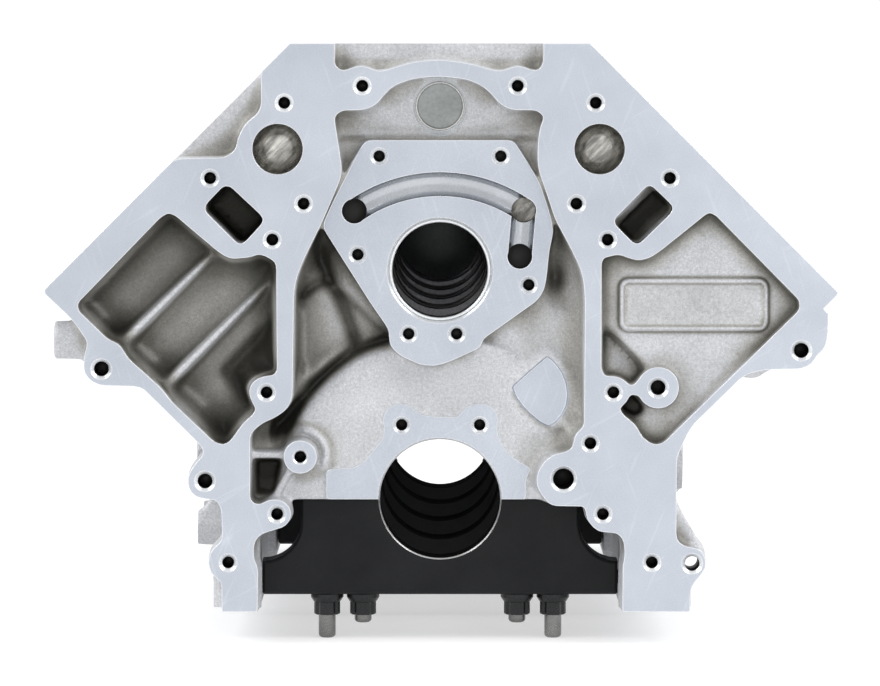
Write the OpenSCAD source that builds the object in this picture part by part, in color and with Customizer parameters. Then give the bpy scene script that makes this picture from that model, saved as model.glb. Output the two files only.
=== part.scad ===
// Bare V8 engine block: aluminium casting with cast-iron liners and steel main caps.
// X runs to the right seen from the front, Y to the rear, Z up.
// The origin is on the crankshaft centreline at the middle of the centre main bearing.

/* [Block] */
// Height of each deck face above the crankshaft centreline
deck_h = 247.65; // [246.5:0.05:249]
// Distance between neighbouring bores of one bank
bore_pitch = 111.76; // [111.5:0.01:112]
// How far the left bank sits behind the right bank
bank_offset = 24.13; // [23.5:0.01:24.5]
// Length from the front face to the rear face
block_len = 520; // [519:0.5:522]
// Height of the valley rail above the crankshaft centreline
valley_rail_z = 264; // [263:0.5:265]
// Depth of the oil pan rail below the crankshaft centreline
pan_z = 63.5; // [62.5:0.5:64.5]

/* [Bores] */
// Finished bore diameter of the liners
bore_d = 104.8; // [104:0.1:105.4]
// Outer diameter of the liners
liner_d = 109.8; // [109.4:0.1:110.4]
// Length of the liners
liner_len = 146; // [143:1:148]

/* [Crankshaft] */
// Main bearing bore diameter
main_d = 69.87; // [69:0.01:70.5]
// Thickness of the bulkheads
bulkhead_t = 25; // [24:0.5:26]
// Thickness of the main caps
cap_t = 24; // [23:0.5:24]
// Half width of the caps over their wings
cap_half_w = 103.5; // [103:0.1:104]
// Depth of the cap wings below the parting line
cap_h = 56.2; // [55.5:0.1:57]
// Distance of the inner studs from the centreline
stud_in_x = 45; // [44:0.5:46]
// Distance of the outer studs from the centreline
stud_out_x = 66; // [65.5:0.5:67]
// Stud diameter
stud_d = 10; // [9:0.5:11]

/* [Camshaft] */
// Height of the camshaft above the crankshaft centreline
cam_z = 133.5; // [133:0.1:134]
// Inner diameter of the cam bearings
cam_d = 55; // [54:0.1:55.5]
// Diameter of the cam housing bore
cam_housing_d = 58.8; // [58.6:0.1:59]

/* [Hidden] */
$fn = 64;

alloy = [0.80, 0.81, 0.82];
iron = [0.55, 0.56, 0.58];
black_steel = [0.12, 0.13, 0.16];
c45 = 0.70710678;
main_r = main_d / 2;
cam_r = cam_d / 2;
x_top = deck_h / c45 - valley_rail_z;   // inboard edge of each deck at the valley rail

// Y of main bearing i, and of bore i on side s (1 right, -1 left), from the front face
function ym(i) = block_len / 2 + (i - 2) * bore_pitch;
function yb(s, i) = ym(i) + bore_pitch / 2 - s * bank_offset / 2;
// Height of the side bolts of cap i, and how far out their heads seat
function bolt_z(i) = i == 0 ? -47 : -19;
function bolt_x(i) = i == 0 ? 124 : 119;
// A section point of the right bank: u inboard along the deck, v along the bores
function rb(u, v) = [(v - u) * c45, (v + u) * c45];
function flip(p) = [for (i = [len(p) - 1:-1:0]) [-p[i][0], p[i][1]]];
// Corners of a polygon cut back by up to r and bent in three steps
function unit(v) = v / norm(v);
function bend(a, b, c, r) = let (k = min(r, norm(a - b) * 0.45, norm(c - b) * 0.45), p = b + unit(a - b) * k, q = b + unit(c - b) * k)
  [p, (p + q + 2 * b) / 4, q];
function soft(p, r) = [for (i = [0:len(p) - 1]) each bend(p[(i + len(p) - 1) % len(p)], p[i], p[(i + 1) % len(p)], r)];

module placed() translate([0, -block_len / 2, 0]) children();
// A section in X and Z carried along Y
module slab(y0, y1) translate([0, y1, 0]) rotate([90, 0, 0]) linear_extrude(y1 - y0) children();
module rod_y(x, z, y0, y1, r) translate([x, y0, z]) rotate([-90, 0, 0]) cylinder(h = y1 - y0, r = r);
module rod_x(x0, x1, y, z, r) translate([x0, y, z]) rotate([0, 90, 0]) cylinder(h = x1 - x0, r = r);
// Bank frame: x outboard along the deck, y along the block, z along the bores
module bank(s) mirror([s < 0 ? 1 : 0, 0, 0]) rotate([0, 45, 0]) children();
module bank_rod(s, u, y, v0, v1, r) bank(s) translate([-u, y, v0]) cylinder(h = v1 - v0, r = r);
// Tapped hole in a front-facing surface at depth y, with its countersink
module tapped(x, z, y, depth, r, c) {
  rod_y(x, z, y - 1, y + depth, r);
  translate([x, y - 1, z]) rotate([-90, 0, 0]) cylinder(h = c - r + 1, r1 = c + 1, r2 = r);
}

// ---------- outlines of the front face ----------
face_left = [[-60.5, 264], [-88.4, 264], [-101.5, 249.5], [-102.5, 246.5], [-102.5, 228], [-105, 223], [-110, 219.5], [-113, 215.5],
  [-116, 209.5], [-117, 204], [-119, 201.5], [-124, 198.5], [-152.2, 198], [-227.4, 122.8], [-227.4, 120.5], [-213, 107], [-208.5, 101.5],
  [-203, 93], [-203, 90], [-205, 84], [-205, 75], [-201, 70], [-195.5, 67.5], [-175.5, 67], [-171, 65.8], [-139, 34], [-136.5, 31],
  [-136.3, 27.5], [-142, 21], [-145.5, 14.5], [-145, 8], [-141.5, 3.5], [-135.5, 1.8], [-129, 1.5], [-126, -3.5], [-125.5, -21],
  [-127.5, -24], [-132, -28], [-134, -35], [-132, -41], [-129, -44], [-126, -46.5], [-126, -63.5]];
leg_left = [[-105.5, -63.5], [-105, -38], [-107.5, -33], [-107.5, -24], [-104.5, -19.5], [-101.5, -17.8], [-96, -16], [-89, -14], [-85.5, -8],
  [-87, -2], [-92, 1.6], [-98.5, 1.5], [-103, -1], [-107, -1], [-109.5, 2], [-109.5, 37.5], [-108, 41], [-103, 45.5], [-94, 49.5], [-88, 54],
  [-85, 60.5], [-84, 121.5], [-82.5, 129.5], [-78.5, 140], [-68.5, 160], [-60, 179.5], [-56, 190], [-57.5, 200.5], [-60.3, 219], [-60.3, 222.5],
  [-56.5, 225.7], [-43, 226], [-36.5, 229], [-32, 235], [-26.5, 240], [-15.5, 244], [0, 245.3]];
leg_right = [[15.5, 243.5], [23, 240.5], [29, 236], [34, 229.5], [40.5, 226], [55, 225.8], [58.5, 223.5], [59.5, 221], [57.5, 216],
  [56.3, 208.5], [56, 194], [59, 184.5], [63, 173], [66, 163.5], [76, 145], [80.5, 135.5], [82.7, 127.5], [83.5, 115.5], [83, 43.5], [78, 39.5],
  [76, 31], [72, 29], [65, 27.5], [59, 22.5], [56, 16], [55.5, 10.5], [59, 3.5], [64, -2], [82.5, -2.3], [84, -4.5], [85, -10.5], [89.5, -15.5],
  [92.5, -17], [102, -17.8], [105, -20.5], [106.5, -25], [106.5, -32.5], [105.5, -36], [105.3, -63.5]];
face_right = [[144.2, -63.5], [144.5, -49], [151.5, -41], [154, -35.5], [151.5, -29], [149, -27], [141, -25.4], [137.5, -23], [136.2, -19.5],
  [136.4, 26], [138.6, 31], [142.5, 39.5], [146, 45], [175.5, 74], [187, 76.7], [208, 77], [214, 80], [216.5, 84.5], [221.5, 89], [223, 95.5],
  [223.5, 113], [228.8, 120], [228.8, 121.4], [86.2, 264], [59.5, 264], [59.2, 253], [57.3, 249.3], [53.7, 248.3], [45, 251.8], [34.5, 247.6],
  [17, 252.5], [0, 254.8], [-15.5, 253.5], [-27.5, 249.7], [-35, 247.7], [-45.3, 252], [-55, 248.3], [-58.3, 249.3], [-60.5, 252.2]];
pocket_left = [[-152, 165.5], [-126.5, 144], [-120.5, 140.5], [-109, 141.5], [-104, 143.5], [-98.5, 141.5], [-94, 138], [-93.7, 76],
  [-95.5, 73.5], [-107.5, 68.5], [-109.5, 64], [-106, 54.5], [-107, 51], [-112.5, 46.5], [-121, 35], [-125, 33], [-130.5, 35], [-155, 58.5],
  [-160, 65.5], [-180, 83.5], [-184, 91], [-191, 94], [-208, 110.5], [-208.5, 115], [-160.5, 164.5], [-156, 167]];
pocket_right = [[154.5, 166.5], [158, 165.5], [206.5, 116.5], [206.5, 111], [129, 34.5], [124, 33], [117, 36.5], [112.5, 45], [105.5, 51],
  [105, 56.5], [110.5, 61.5], [113, 62], [117, 75], [113, 77.5], [104, 71.8], [94.5, 73.5], [92.7, 77], [92.7, 138], [94, 141], [102.5, 143.3],
  [108.5, 141], [114, 139.5], [120.5, 141], [127, 145.5]];
cam_plate = [[-42.8, 208.4], [42.3, 208.4], [56.6, 186], [65, 174], [65.5, 160], [64.8, 153], [63, 145], [61.5, 130], [60, 122], [56, 116],
  [24.5, 93.5], [23.5, 89], [5, 80.5], [-3, 78.2], [-11, 78.8], [-23.5, 84.5], [-29.2, 90.5], [-29.2, 99], [-40, 114.5], [-64, 152.5],
  [-68, 159], [-68, 162.5], [-63, 174], [-52.5, 193.5]];
m8_pairs = [[89.4, 230], [44.6, 239.7], [132.1, 186.8], [78.4, 172.1], [96.4, 151.4], [99.9, 63.4], [94, -7], [122.3, -35]];
m8_front = concat([for (p = m8_pairs, s = [-1, 1]) [s * p[0], p[1]]], [[86.7, 34]]);
m10_front = [[-195, 77], [-135.5, 12.2], [208, 87.6], [125.6, 66.2], [145.5, -35.6]];
plate_bolts = [[-35, 199.2], [35, 199.2], [-47.4, 142.5], [51.2, 125], [-18.1, 96.7], [9.6, 96.7]];
core_v = 190;   // height of the core plugs up the banks

// ---------- cast body ----------
// Half section of one bank with its skirt and rail, on the right side
function half_section(rail) = [[0, valley_rail_z], [x_top, valley_rail_z], rb(-77, deck_h), rb(-77, deck_h - 15), rb(-71, deck_h - 21),
  rb(-71, 96), [117, 15], [117, -38], [rail, -46], [rail, -pan_z], [0, -pan_z]];

module side_bosses(s, rail) {
  // engine mount bosses, side bolt bosses and the gussets over the pan rail
  mirror([s < 0 ? 1 : 0, 0, 0]) {
    for (y = [170, 238]) { rod_x(115, 148, y, 4, 12.5); rod_x(115, 148, y, -32, 10.5); }
    for (z = [4, -32]) translate([114, 170, z - 4]) cube([18, 68, 8]);
    slab(166, 174) polygon([[114, 0], [136, -8], [147, -22], [147, -32], [114, -32]]);
    for (i = [1:4]) slab(ym(i) - 20, ym(i) - 12) polygon([[114, 20], [120, 16], [rail - 1, -44], [rail - 1, -50], [114, -50]]);
  }
  // stiffening ribs down the outer bank wall, one over each bulkhead
  for (i = [1:3]) bank(s) translate([68, ym(i) - 3 - s * 2, 112]) cube([7, 6, 118]);
}

module rear_flange() difference() {
  slab(block_len - 24, block_len) polygon([[-132, -pan_z], [-132, -50], [-158, -45], [-165, -38], [-166, -20], [-166, 22], [-160, 52], [-148, 84],
    [-128, 112], [-100, 138], [-92, 160], [-84, 182], [-60, 196], [60, 196], [84, 182], [92, 160], [100, 138], [128, 112], [148, 84], [160, 52],
    [166, 22], [166, -20], [165, -38], [158, -45], [144.5, -50], [144.5, -pan_z]]);
  // cast pockets between the flange and the body
  for (s = [-1, 1]) mirror([s < 0 ? 1 : 0, 0, 0]) slab(block_len - 25, block_len - 14) polygon([[123, -36], [158, -36], [160, 20], [150, 62], [128, 40], [123, 14]]);
}

module body() {
  slab(24, block_len) polygon(flip(half_section(132)));
  slab(24, block_len - 24) polygon(half_section(144.5));
  slab(0, 24.5) polygon(concat(face_left, leg_left, leg_right, face_right));
  // floor of the timing chest: disc round the crankshaft, recess over the cam plate, cam plate
  intersection() {
    rod_y(0, 0, 18, 24.5, 98);
    slab(17, 25) polygon([[-108, 0], [108, 0], [108, 40], [84, 60], [84, 110], [-84, 110], [-84, 60], [-108, 40]]);
  }
  slab(16, 24.5) polygon([[-59, 200], [58, 200], [60, 224], [42, 228], [30, 240], [-30, 240], [-42, 228], [-61, 224]]);
  slab(8, 24.5) polygon(cam_plate);
  // free-standing boss beside the crankshaft, with its two ribs
  rod_y(-80.6, 26, 2, 24.5, 9.5);
  slab(10, 24.5) polygon([[-112, 24.5], [-86, 24.5], [-86, 28.5], [-112, 28.5]]);
  slab(10, 24.5) polygon([[-88, 20], [-84, 20], [-96, -2], [-101, -2]]);
  // boss on the front of the left bank and on the right bank
  rod_x(-224, -185, 30, 92, 11);
  for (s = [-1, 1]) side_bosses(s, s < 0 ? 132 : 144.5);
  for (i = [0:4]) { rod_x(104, bolt_x(i), ym(i), bolt_z(i), 11); rod_x(-bolt_x(i), -104, ym(i), bolt_z(i), 11); }
  rear_flange();
  // starter boss low on the left side
  slab(470, 500) polygon([[-118, 16], [-148, -4], [-150, -40], [-118, -44]]);
  // web from the front plate down to the boss at its lower right corner
  slab(8, 26) polygon([[128, -2], [136.5, -3], [139, -5], [152.5, -28], [150, -36], [128, -36]]);
}

// ---------- hollows ----------
module jacket(s) difference() {
  union() {
    for (i = [0:3]) bank_rod(s, 0, yb(s, i), 155, 234, 66);
    bank(s) translate([-42, yb(s, 0), 155]) cube([84, 3 * bore_pitch, 79]);
    // deeper on the outboard side
    intersection() {
      for (i = [0:3]) bank_rod(s, 0, yb(s, i), 126, 160, 66);
      bank(s) translate([10, yb(s, 0) - 70, 120]) cube([80, 480, 50]);
    }
  }
  for (i = [0:3]) bank_rod(s, 0, yb(s, i), 120, 240, 60);
}

module crankcase() {
  for (i = [0:3]) {
    y0 = ym(i) + bulkhead_t / 2;
    y1 = ym(i + 1) - bulkhead_t / 2;
    rod_y(0, 0, y0, y1, 104);
    rod_y(0, cam_z, y0, y1, 38);
    slab(y0, y1) polygon([[-27, 60], [27, 60], [27, 125], [-27, 125]]);
  }
  // between the skirts, below the bulkheads; bosses stand beside the caps
  difference() {
    translate([-104.5, 24, -pan_z - 1]) cube([209, block_len - 40, pan_z + 1]);
    for (i = [1:4], s = [-1, 1]) slab(ym(i) - 11.5, ym(i) + 11.5) polygon([[98 * s, 1], [105 * s, 1], [105 * s, -44], [98 * s, -44]]);
  }
  // breather windows through the three middle bulkheads
  for (i = [1:3], x = [-76, 76]) rod_y(x, 52, ym(i) - 20, ym(i) + 20, 12);
}

module deck_holes(s) {
  for (i = [0:3]) {
    bank_rod(s, 0, yb(s, i), 92, deck_h + 5, liner_d / 2);
    // lifter window and the two lifter bores under it
    bank(s) translate([-112, yb(s, i) - 34, 158]) cube([34, 68, 104]);
    for (d = [-18, 18]) bank_rod(s, cam_z * c45, yb(s, i) + d, 118, 162, 10.7);
    for (a = [55, 125, 235, 305]) bank_rod(s, 63 * sin(a), yb(s, i) + 63 * cos(a), 228, deck_h + 5, 3.6);
  }
  // head bolts: two rows of M11, a row of M8 beside the windows
  for (i = [-1:3]) {
    y = yb(s, i) + bore_pitch / 2;
    for (u = [-1, 1]) bank_rod(s, u * bore_pitch / 2, y, deck_h - 70, deck_h + 5, 4.9);
    bank_rod(s, 95, y, deck_h - 26, deck_h + 5, 3.4);
  }
  for (y = [yb(s, 0) - 40, yb(s, 3) + 40]) bank_rod(s, -66, y, deck_h - 12, deck_h + 5, 6);
}

module front_cuts() {
  // deep ribbed pocket on the left, shallow pocket on the right
  difference() {
    slab(-1, 31) polygon(pocket_left);
    for (p = [[[-182, 93], [-178, 89], [-124, 143], [-128, 147]], [[-158, 67.5], [-154, 63.5], [-92, 125.5], [-92, 133.5]]])
      slab(9, 32) polygon(p);
    rod_y(-99.9, 63.4, -1, 32, 9);
  }
  difference() {
    slab(-1, 8) polygon(pocket_right);
    rod_y(125.6, 66.2, -2, 9, 12);
    rod_y(99.9, 63.4, -2, 9, 9);
  }
  rod_y(111, 56.8, 0, 22, 4);
  // deeper recesses of the timing chest beside the cam plate
  slab(17, 38) polygon(soft([[-82, 62], [-82, 122], [-70, 146], [-46, 112], [-36, 97], [-56, 86]], 5));
  slab(17, 30) polygon(soft([[-105, 5], [-105, 22], [-92, 22], [-96, 2]], 3));
  // oil groove and its three drillings in the cam plate
  intersection() {
    difference() { rod_y(0, 97.8, 7, 13, 92.5); rod_y(0, 97.8, 6, 14, 78.2); }
    slab(6, 14) polygon([[0, 97.8], [-66, 191], [0, 215], [65, 192]]);
  }
  slab(7, 13) polygon([[41.2, 168.5], [38.9, 141], [53.1, 141], [55.4, 168.5]]);
  for (p = [[-49.4, 167.6], [48.3, 168], [46, 141.5]]) rod_y(p[0], p[1], 7, 16, 7.1);
  // water ports: a round one and a rectangular one to each bank
  for (x = [-93.2, 91.6]) rod_y(x, 203.5, -1, 22, 14.3);
  slab(-1, 52) polygon(soft([[-122.6, 184.2], [-100, 163], [-114.5, 147.3], [-136.7, 169.5]], 3.5));
  slab(-1, 28) polygon(soft([[120, 184.3], [135.4, 169.3], [113.1, 147.4], [98.5, 162]], 3.5));
  // bolt holes
  for (p = m8_front) tapped(p[0], p[1], 0, 20, 3.4, 5.3);
  for (p = m10_front) tapped(p[0], p[1], 0, p[1] < -30 ? 50 : 21, 4.25, 5.8);
  for (p = plate_bolts) tapped(p[0], p[1], 8, 14, 3.4, 5);
  for (x = [-22.2, 23]) tapped(x, 43.3, 18, 16, 3.4, 5);
  tapped(-80.6, 26, 2, 18, 3.4, 4.4);
  tapped(71.2, 13.4, 0, 30, 6, 7);
  rod_y(0, 227.9, 10, 32, 14);
}

module rear_cuts() {
  // recess of the rear seal cover, cam plug seat, gallery plugs, dowels and bolt holes
  rod_y(0, 0, block_len - 12, block_len + 1, 78);
  slab(block_len - 12, block_len + 1) polygon([[-78, 0], [78, 0], [78, -pan_z - 1], [-78, -pan_z - 1]]);
  slab(ym(4) + bulkhead_t / 2 - 1, block_len + 1) polygon([[-104.5, -pan_z - 1], [104.5, -pan_z - 1], [104.5, -20], [-104.5, -20]]);
  for (x = [-46, 46]) rod_y(x, 190, block_len - 30, block_len + 1, 8.5);
  for (s = [-1, 1]) {
    rod_y(s * 152, -24, block_len - 16, block_len + 1, 8);
    for (p = [[153, 4], [137, 68], [100, 116]]) rod_y(s * p[0], p[1], block_len - 22, block_len + 1, 5.2);
    rod_y(s * 60, 183, block_len - 30, block_len + 1, 5.2);
    for (p = [[88, 20], [66, 62], [26, 88]]) rod_y(s * p[0], p[1], block_len - 20, block_len + 1, 3.4);
  }
}

module block_casting() color(alloy) placed() difference() {
  body();
  crankcase();
  rod_y(0, 0, 10, block_len + 1, main_r);
  rod_y(0, cam_z, 0, block_len + 1, cam_housing_d / 2);
  for (s = [-1, 1]) { jacket(s); deck_holes(s); }
  // valley between the banks
  slab(50, block_len - 50) polygon([[-58, 270], [-58, 232], [-20, 195], [20, 195], [58, 232], [58, 270]]);
  for (x = [-72, 72], i = [0:4]) translate([x, 36 + i * 112, valley_rail_z - 18]) cylinder(h = 20, r = 3.4);
  front_cuts();
  rear_cuts();
  for (i = [0:4], s = [-1, 1]) {
    for (x = [stud_in_x, stud_out_x]) translate([s * x, ym(i), -1]) cylinder(h = 53, r = stud_d / 2);
    rod_x(s > 0 ? 90 : -130, s > 0 ? 130 : -90, ym(i), bolt_z(i), 4.2);
    rod_x(s > 0 ? bolt_x(i) : -160, s > 0 ? 160 : -bolt_x(i), ym(i), bolt_z(i), 10.5);
  }
  // pan rail bolts, engine mount bolts, core plug seats
  for (x = [-118, 118], y = [56, 128, 216, 304, 392, 464]) translate([x, y, -pan_z - 1]) cylinder(h = 21, r = 3.4);
  for (s = [-1, 1], y = [170, 238], z = [4, -32]) rod_x(s > 0 ? 132 : -149, s > 0 ? 149 : -132, y, z, 4.25);
  for (s = [-1, 1], i = [0:2]) bank(s) translate([36, yb(s, i) + bore_pitch / 2, core_v]) rotate([0, 90, 0]) cylinder(h = 40, r = 17);
  translate([-230, 30, 92]) rotate([0, 90, 0]) cylinder(h = 26, r = 4.25);
}

// ---------- liners, caps, bearings ----------
module liner(s, i) color(iron) placed() bank(s) translate([0, yb(s, i), deck_h - liner_len]) difference() {
  cylinder(h = liner_len, r = liner_d / 2);
  translate([0, 0, -1]) cylinder(h = liner_len + 2, r = bore_d / 2);
  translate([0, 0, liner_len - 0.6]) cylinder(h = 1.6, r1 = bore_d / 2, r2 = bore_d / 2 + 1.6);
}
module liner_1() liner(1, 0);
module liner_2() liner(1, 1);
module liner_3() liner(1, 2);
module liner_4() liner(1, 3);
module liner_5() liner(-1, 0);
module liner_6() liner(-1, 1);
module liner_7() liner(-1, 2);
module liner_8() liner(-1, 3);

// The front cap is notched beside the bosses of the front plate and has wings below them;
// the others reach out to the bosses of the skirts
module main_cap(i) color(black_steel) placed() difference() {
  if (i == 0) slab(ym(i) - cap_t / 2, ym(i) + cap_t / 2) polygon([[-81.2, 0], [81.2, 0], [81.2, -14.5], [cap_half_w, -14.5], [cap_half_w, -cap_h + 1],
    [cap_half_w - 1, -cap_h], [-cap_half_w + 1, -cap_h], [-cap_half_w, -cap_h + 1], [-cap_half_w, -14.5], [-81.2, -14.5]]);
  else slab(ym(i) - cap_t / 2, ym(i) + cap_t / 2) polygon([[-98, 0], [98, 0], [98, -38.5], [83, -38.5], [79, -42], [79, -cap_h],
    [-79, -cap_h], [-79, -42], [-83, -38.5], [-98, -38.5]]);
  rod_y(0, 0, 0, block_len, main_r);
  for (s = [-1, 1]) {
    if (i == 0) rod_y(s * 103.5, -14.5, 0, block_len, 22.3);
    for (x = [stud_in_x, stud_out_x]) translate([s * x, ym(i), -cap_h - 1]) cylinder(h = cap_h + 2, r = stud_d / 2 + 0.5);
    rod_x(s > 0 ? 80 : -110, s > 0 ? 110 : -80, ym(i), bolt_z(i), 4);
  }
}
module main_cap_1() main_cap(0);
module main_cap_2() main_cap(1);
module main_cap_3() main_cap(2);
module main_cap_4() main_cap(3);
module main_cap_5() main_cap(4);

module cam_bearing(y0) color(iron) placed() difference() {
  rod_y(0, cam_z, y0, y0 + 20, cam_housing_d / 2);
  rod_y(0, cam_z, y0 - 1, y0 + 21, cam_r);
}
module cam_bearing_1() cam_bearing(12);
module cam_bearing_2() cam_bearing(ym(1) - 10);
module cam_bearing_3() cam_bearing(ym(2) - 10);
module cam_bearing_4() cam_bearing(ym(3) - 10);
module cam_bearing_5() cam_bearing(ym(4) - 10);

// ---------- fasteners ----------
// Studs along the row of caps at x, down to the tip at z
module studs(x, tip) color(black_steel) placed() for (s = [-1, 1], i = [0:4]) translate([s * x, ym(i), tip]) {
  cylinder(h = 1, r1 = stud_d / 2 - 1, r2 = stud_d / 2);
  translate([0, 0, 1]) cylinder(h = 49 - tip, r = stud_d / 2);
}
module main_studs_inner() studs(stud_in_x, -73.7);
module main_studs_outer() studs(stud_out_x, -82.6);

// Flanged nuts with a twelve-point head, seated under the caps
module nuts(x) color(black_steel) placed() for (s = [-1, 1], i = [0:4]) translate([s * x, ym(i), -cap_h]) mirror([0, 0, 1]) difference() {
  union() {
    cylinder(h = 3.4, r = 9.6);
    translate([0, 0, 3.4]) cylinder(h = 1.6, r1 = 9.6, r2 = 8);
    for (a = [0, 30]) rotate([0, 0, a]) cylinder(h = 12.8, r = 7.6, $fn = 6);
  }
  translate([0, 0, -1]) cylinder(h = 20, r = stud_d / 2);
}
module stud_nuts_inner() nuts(stud_in_x);
module stud_nuts_outer() nuts(stud_out_x);

module cap_side_bolts() color(black_steel) placed() for (s = [0, 1], i = [0:4]) mirror([s, 0, 0]) {
  rod_x(84, bolt_x(i) + 1, ym(i), bolt_z(i), 4);
  rod_x(bolt_x(i), bolt_x(i) + 1.6, ym(i), bolt_z(i), 8.5);
  translate([bolt_x(i) + 1.6, ym(i), bolt_z(i)]) rotate([0, 90, 0]) cylinder(h = 5.4, r = 7, $fn = 6);
}

// ---------- plugs and dowels ----------
module cup(r, h, t) difference() {
  cylinder(h = h, r = r);
  translate([0, 0, t]) cylinder(h = h, r = r - t);
}
module valley_cup_plug() color(iron) placed() translate([0, 26, 227.9]) rotate([90, 0, 0]) cup(14, 8, 1.6);
module core_plugs(s) color(iron) placed() for (i = [0:2]) bank(s) translate([60.5, yb(s, i) + bore_pitch / 2, core_v]) rotate([0, 90, 0]) cup(17, 9, 1.6);
module core_plugs_left() core_plugs(-1);
module core_plugs_right() core_plugs(1);
module cam_rear_plug() color(iron) placed() translate([0, block_len - 12, cam_z]) rotate([-90, 0, 0]) cup(cam_housing_d / 2, 8, 3);
module gallery_plugs() color(black_steel) placed() for (x = [-46, 46]) difference() {
  rod_y(x, 190, block_len - 14, block_len - 1, 8.5);
  translate([x, block_len - 7, 190]) rotate([-90, 0, 0]) cylinder(h = 10, r = 4.6, $fn = 6);
}
module bell_dowels() color(iron) placed() for (x = [-152, 152]) difference() {
  rod_y(x, -24, block_len - 16, block_len + 8, 8);
  rod_y(x, -24, block_len - 17, block_len + 9, 5);
}

block_casting();
liner_1();
liner_2();
liner_3();
liner_4();
liner_5();
liner_6();
liner_7();
liner_8();
main_cap_1();
main_cap_2();
main_cap_3();
main_cap_4();
main_cap_5();
cam_bearing_1();
cam_bearing_2();
cam_bearing_3();
cam_bearing_4();
cam_bearing_5();
main_studs_inner();
main_studs_outer();
stud_nuts_inner();
stud_nuts_outer();
cap_side_bolts();
valley_cup_plug();
core_plugs_left();
core_plugs_right();
cam_rear_plug();
gallery_plugs();
bell_dowels();
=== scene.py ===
import math
import bpy
import bmesh
import numpy as np
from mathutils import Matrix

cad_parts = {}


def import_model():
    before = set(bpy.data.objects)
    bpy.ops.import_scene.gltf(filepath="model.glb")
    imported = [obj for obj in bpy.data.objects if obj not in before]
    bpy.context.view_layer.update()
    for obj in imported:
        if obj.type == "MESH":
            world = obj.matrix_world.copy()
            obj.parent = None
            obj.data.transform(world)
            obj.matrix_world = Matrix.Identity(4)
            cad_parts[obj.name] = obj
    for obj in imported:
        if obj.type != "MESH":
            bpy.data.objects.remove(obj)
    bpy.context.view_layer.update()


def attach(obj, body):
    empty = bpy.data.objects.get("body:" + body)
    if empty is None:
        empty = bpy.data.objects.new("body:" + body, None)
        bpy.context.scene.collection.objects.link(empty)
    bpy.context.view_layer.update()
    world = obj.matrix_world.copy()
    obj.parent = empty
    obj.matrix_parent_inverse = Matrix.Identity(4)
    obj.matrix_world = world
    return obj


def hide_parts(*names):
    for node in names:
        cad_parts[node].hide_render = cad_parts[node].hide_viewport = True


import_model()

import openvdb
from mathutils import Vector

# Everything is worked out in millimetres, with y measured back from the front face,
# and is turned into the frame's metres at the end.
C45 = math.sqrt(0.5)
PITCH = 111.76
OFFSET = 24.13
DECK = 247.65
TOP = 264.0
PAN = -63.5
LEN = 520.0
CAMZ = 133.5
SPLIT = 40.0


def ym(i):
    return 260 + (i - 2) * PITCH


def yb(s, i):
    return ym(i) + PITCH / 2 - s * OFFSET / 2


def rb(u, v):
    return ((v - u) * C45, (v + u) * C45)


def bolt_at(i):
    """Where the seat of a cap's side bolt lies, and at what height."""
    return (124, -47) if i == 0 else (119, -19)


def flip(p):
    return [(-a, b) for a, b in reversed(p)]


def at(px, py, d=0.0):
    """Place in mm of a point seen at px, py in the 880 x 686 frame, on a surface d behind the front face."""
    f = 0.574 * (1 + d / 2700)
    return ((px - 440) * f, 260 - (py - 50) * f)


# ---------------------------------------------------------------- materials
def nt(name):
    m = bpy.data.materials.new(name)
    m.use_nodes = True
    n = m.node_tree.nodes
    n.clear()
    out = n.new("ShaderNodeOutputMaterial")
    b = n.new("ShaderNodeBsdfPrincipled")
    m.node_tree.links.new(b.outputs[0], out.inputs[0])
    return m, n, m.node_tree.links, b


def noise(n, l, scale, detail=3.0, rough=0.55, stretch=None, rot=(0, 0, 0), dim=None):
    tc = n.new("ShaderNodeTexCoord")
    turn = n.new("ShaderNodeMapping")
    turn.inputs["Rotation"].default_value = rot
    l.new(tc.outputs["Object"], turn.inputs["Vector"])
    mp = n.new("ShaderNodeMapping")
    if stretch:
        mp.inputs["Scale"].default_value = stretch
    l.new(turn.outputs["Vector"], mp.inputs["Vector"])
    t = n.new("ShaderNodeTexNoise")
    t.inputs["Scale"].default_value = scale
    t.inputs["Detail"].default_value = detail
    t.inputs["Roughness"].default_value = rough
    l.new(mp.outputs["Vector"], t.inputs["Vector"])
    return t


def ramp(n, l, src, stops):
    r = n.new("ShaderNodeValToRGB")
    e = r.color_ramp.elements
    while len(e) < len(stops):
        e.new(0.5)
    for i, (p, c) in enumerate(stops):
        e[i].position = p
        e[i].color = (c, c, c, 1) if not isinstance(c, tuple) else (*c, 1)
    l.new(src, r.inputs["Fac"])
    return r


def mix(n, l, a, b, fac, mode="MIX"):
    m = n.new("ShaderNodeMix")
    m.data_type = "RGBA"
    m.blend_type = mode
    for s, v in ((m.inputs[6], a), (m.inputs[7], b), (m.inputs[0], fac)):
        if isinstance(v, (int, float)):
            s.default_value = v
        elif isinstance(v, tuple):
            s.default_value = (*v, 1)
        else:
            l.new(v, s)
    return m.outputs[2]


def bump(n, l, height, strength, distance, normal=None):
    b = n.new("ShaderNodeBump")
    b.inputs["Strength"].default_value = strength
    b.inputs["Distance"].default_value = distance
    l.new(height, b.inputs["Height"])
    if normal is not None:
        l.new(normal, b.inputs["Normal"])
    return b.outputs["Normal"]


def edge(n, radius):
    b = n.new("ShaderNodeBevel")
    b.samples = 4
    b.inputs["Radius"].default_value = radius
    return b.outputs["Normal"]


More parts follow.
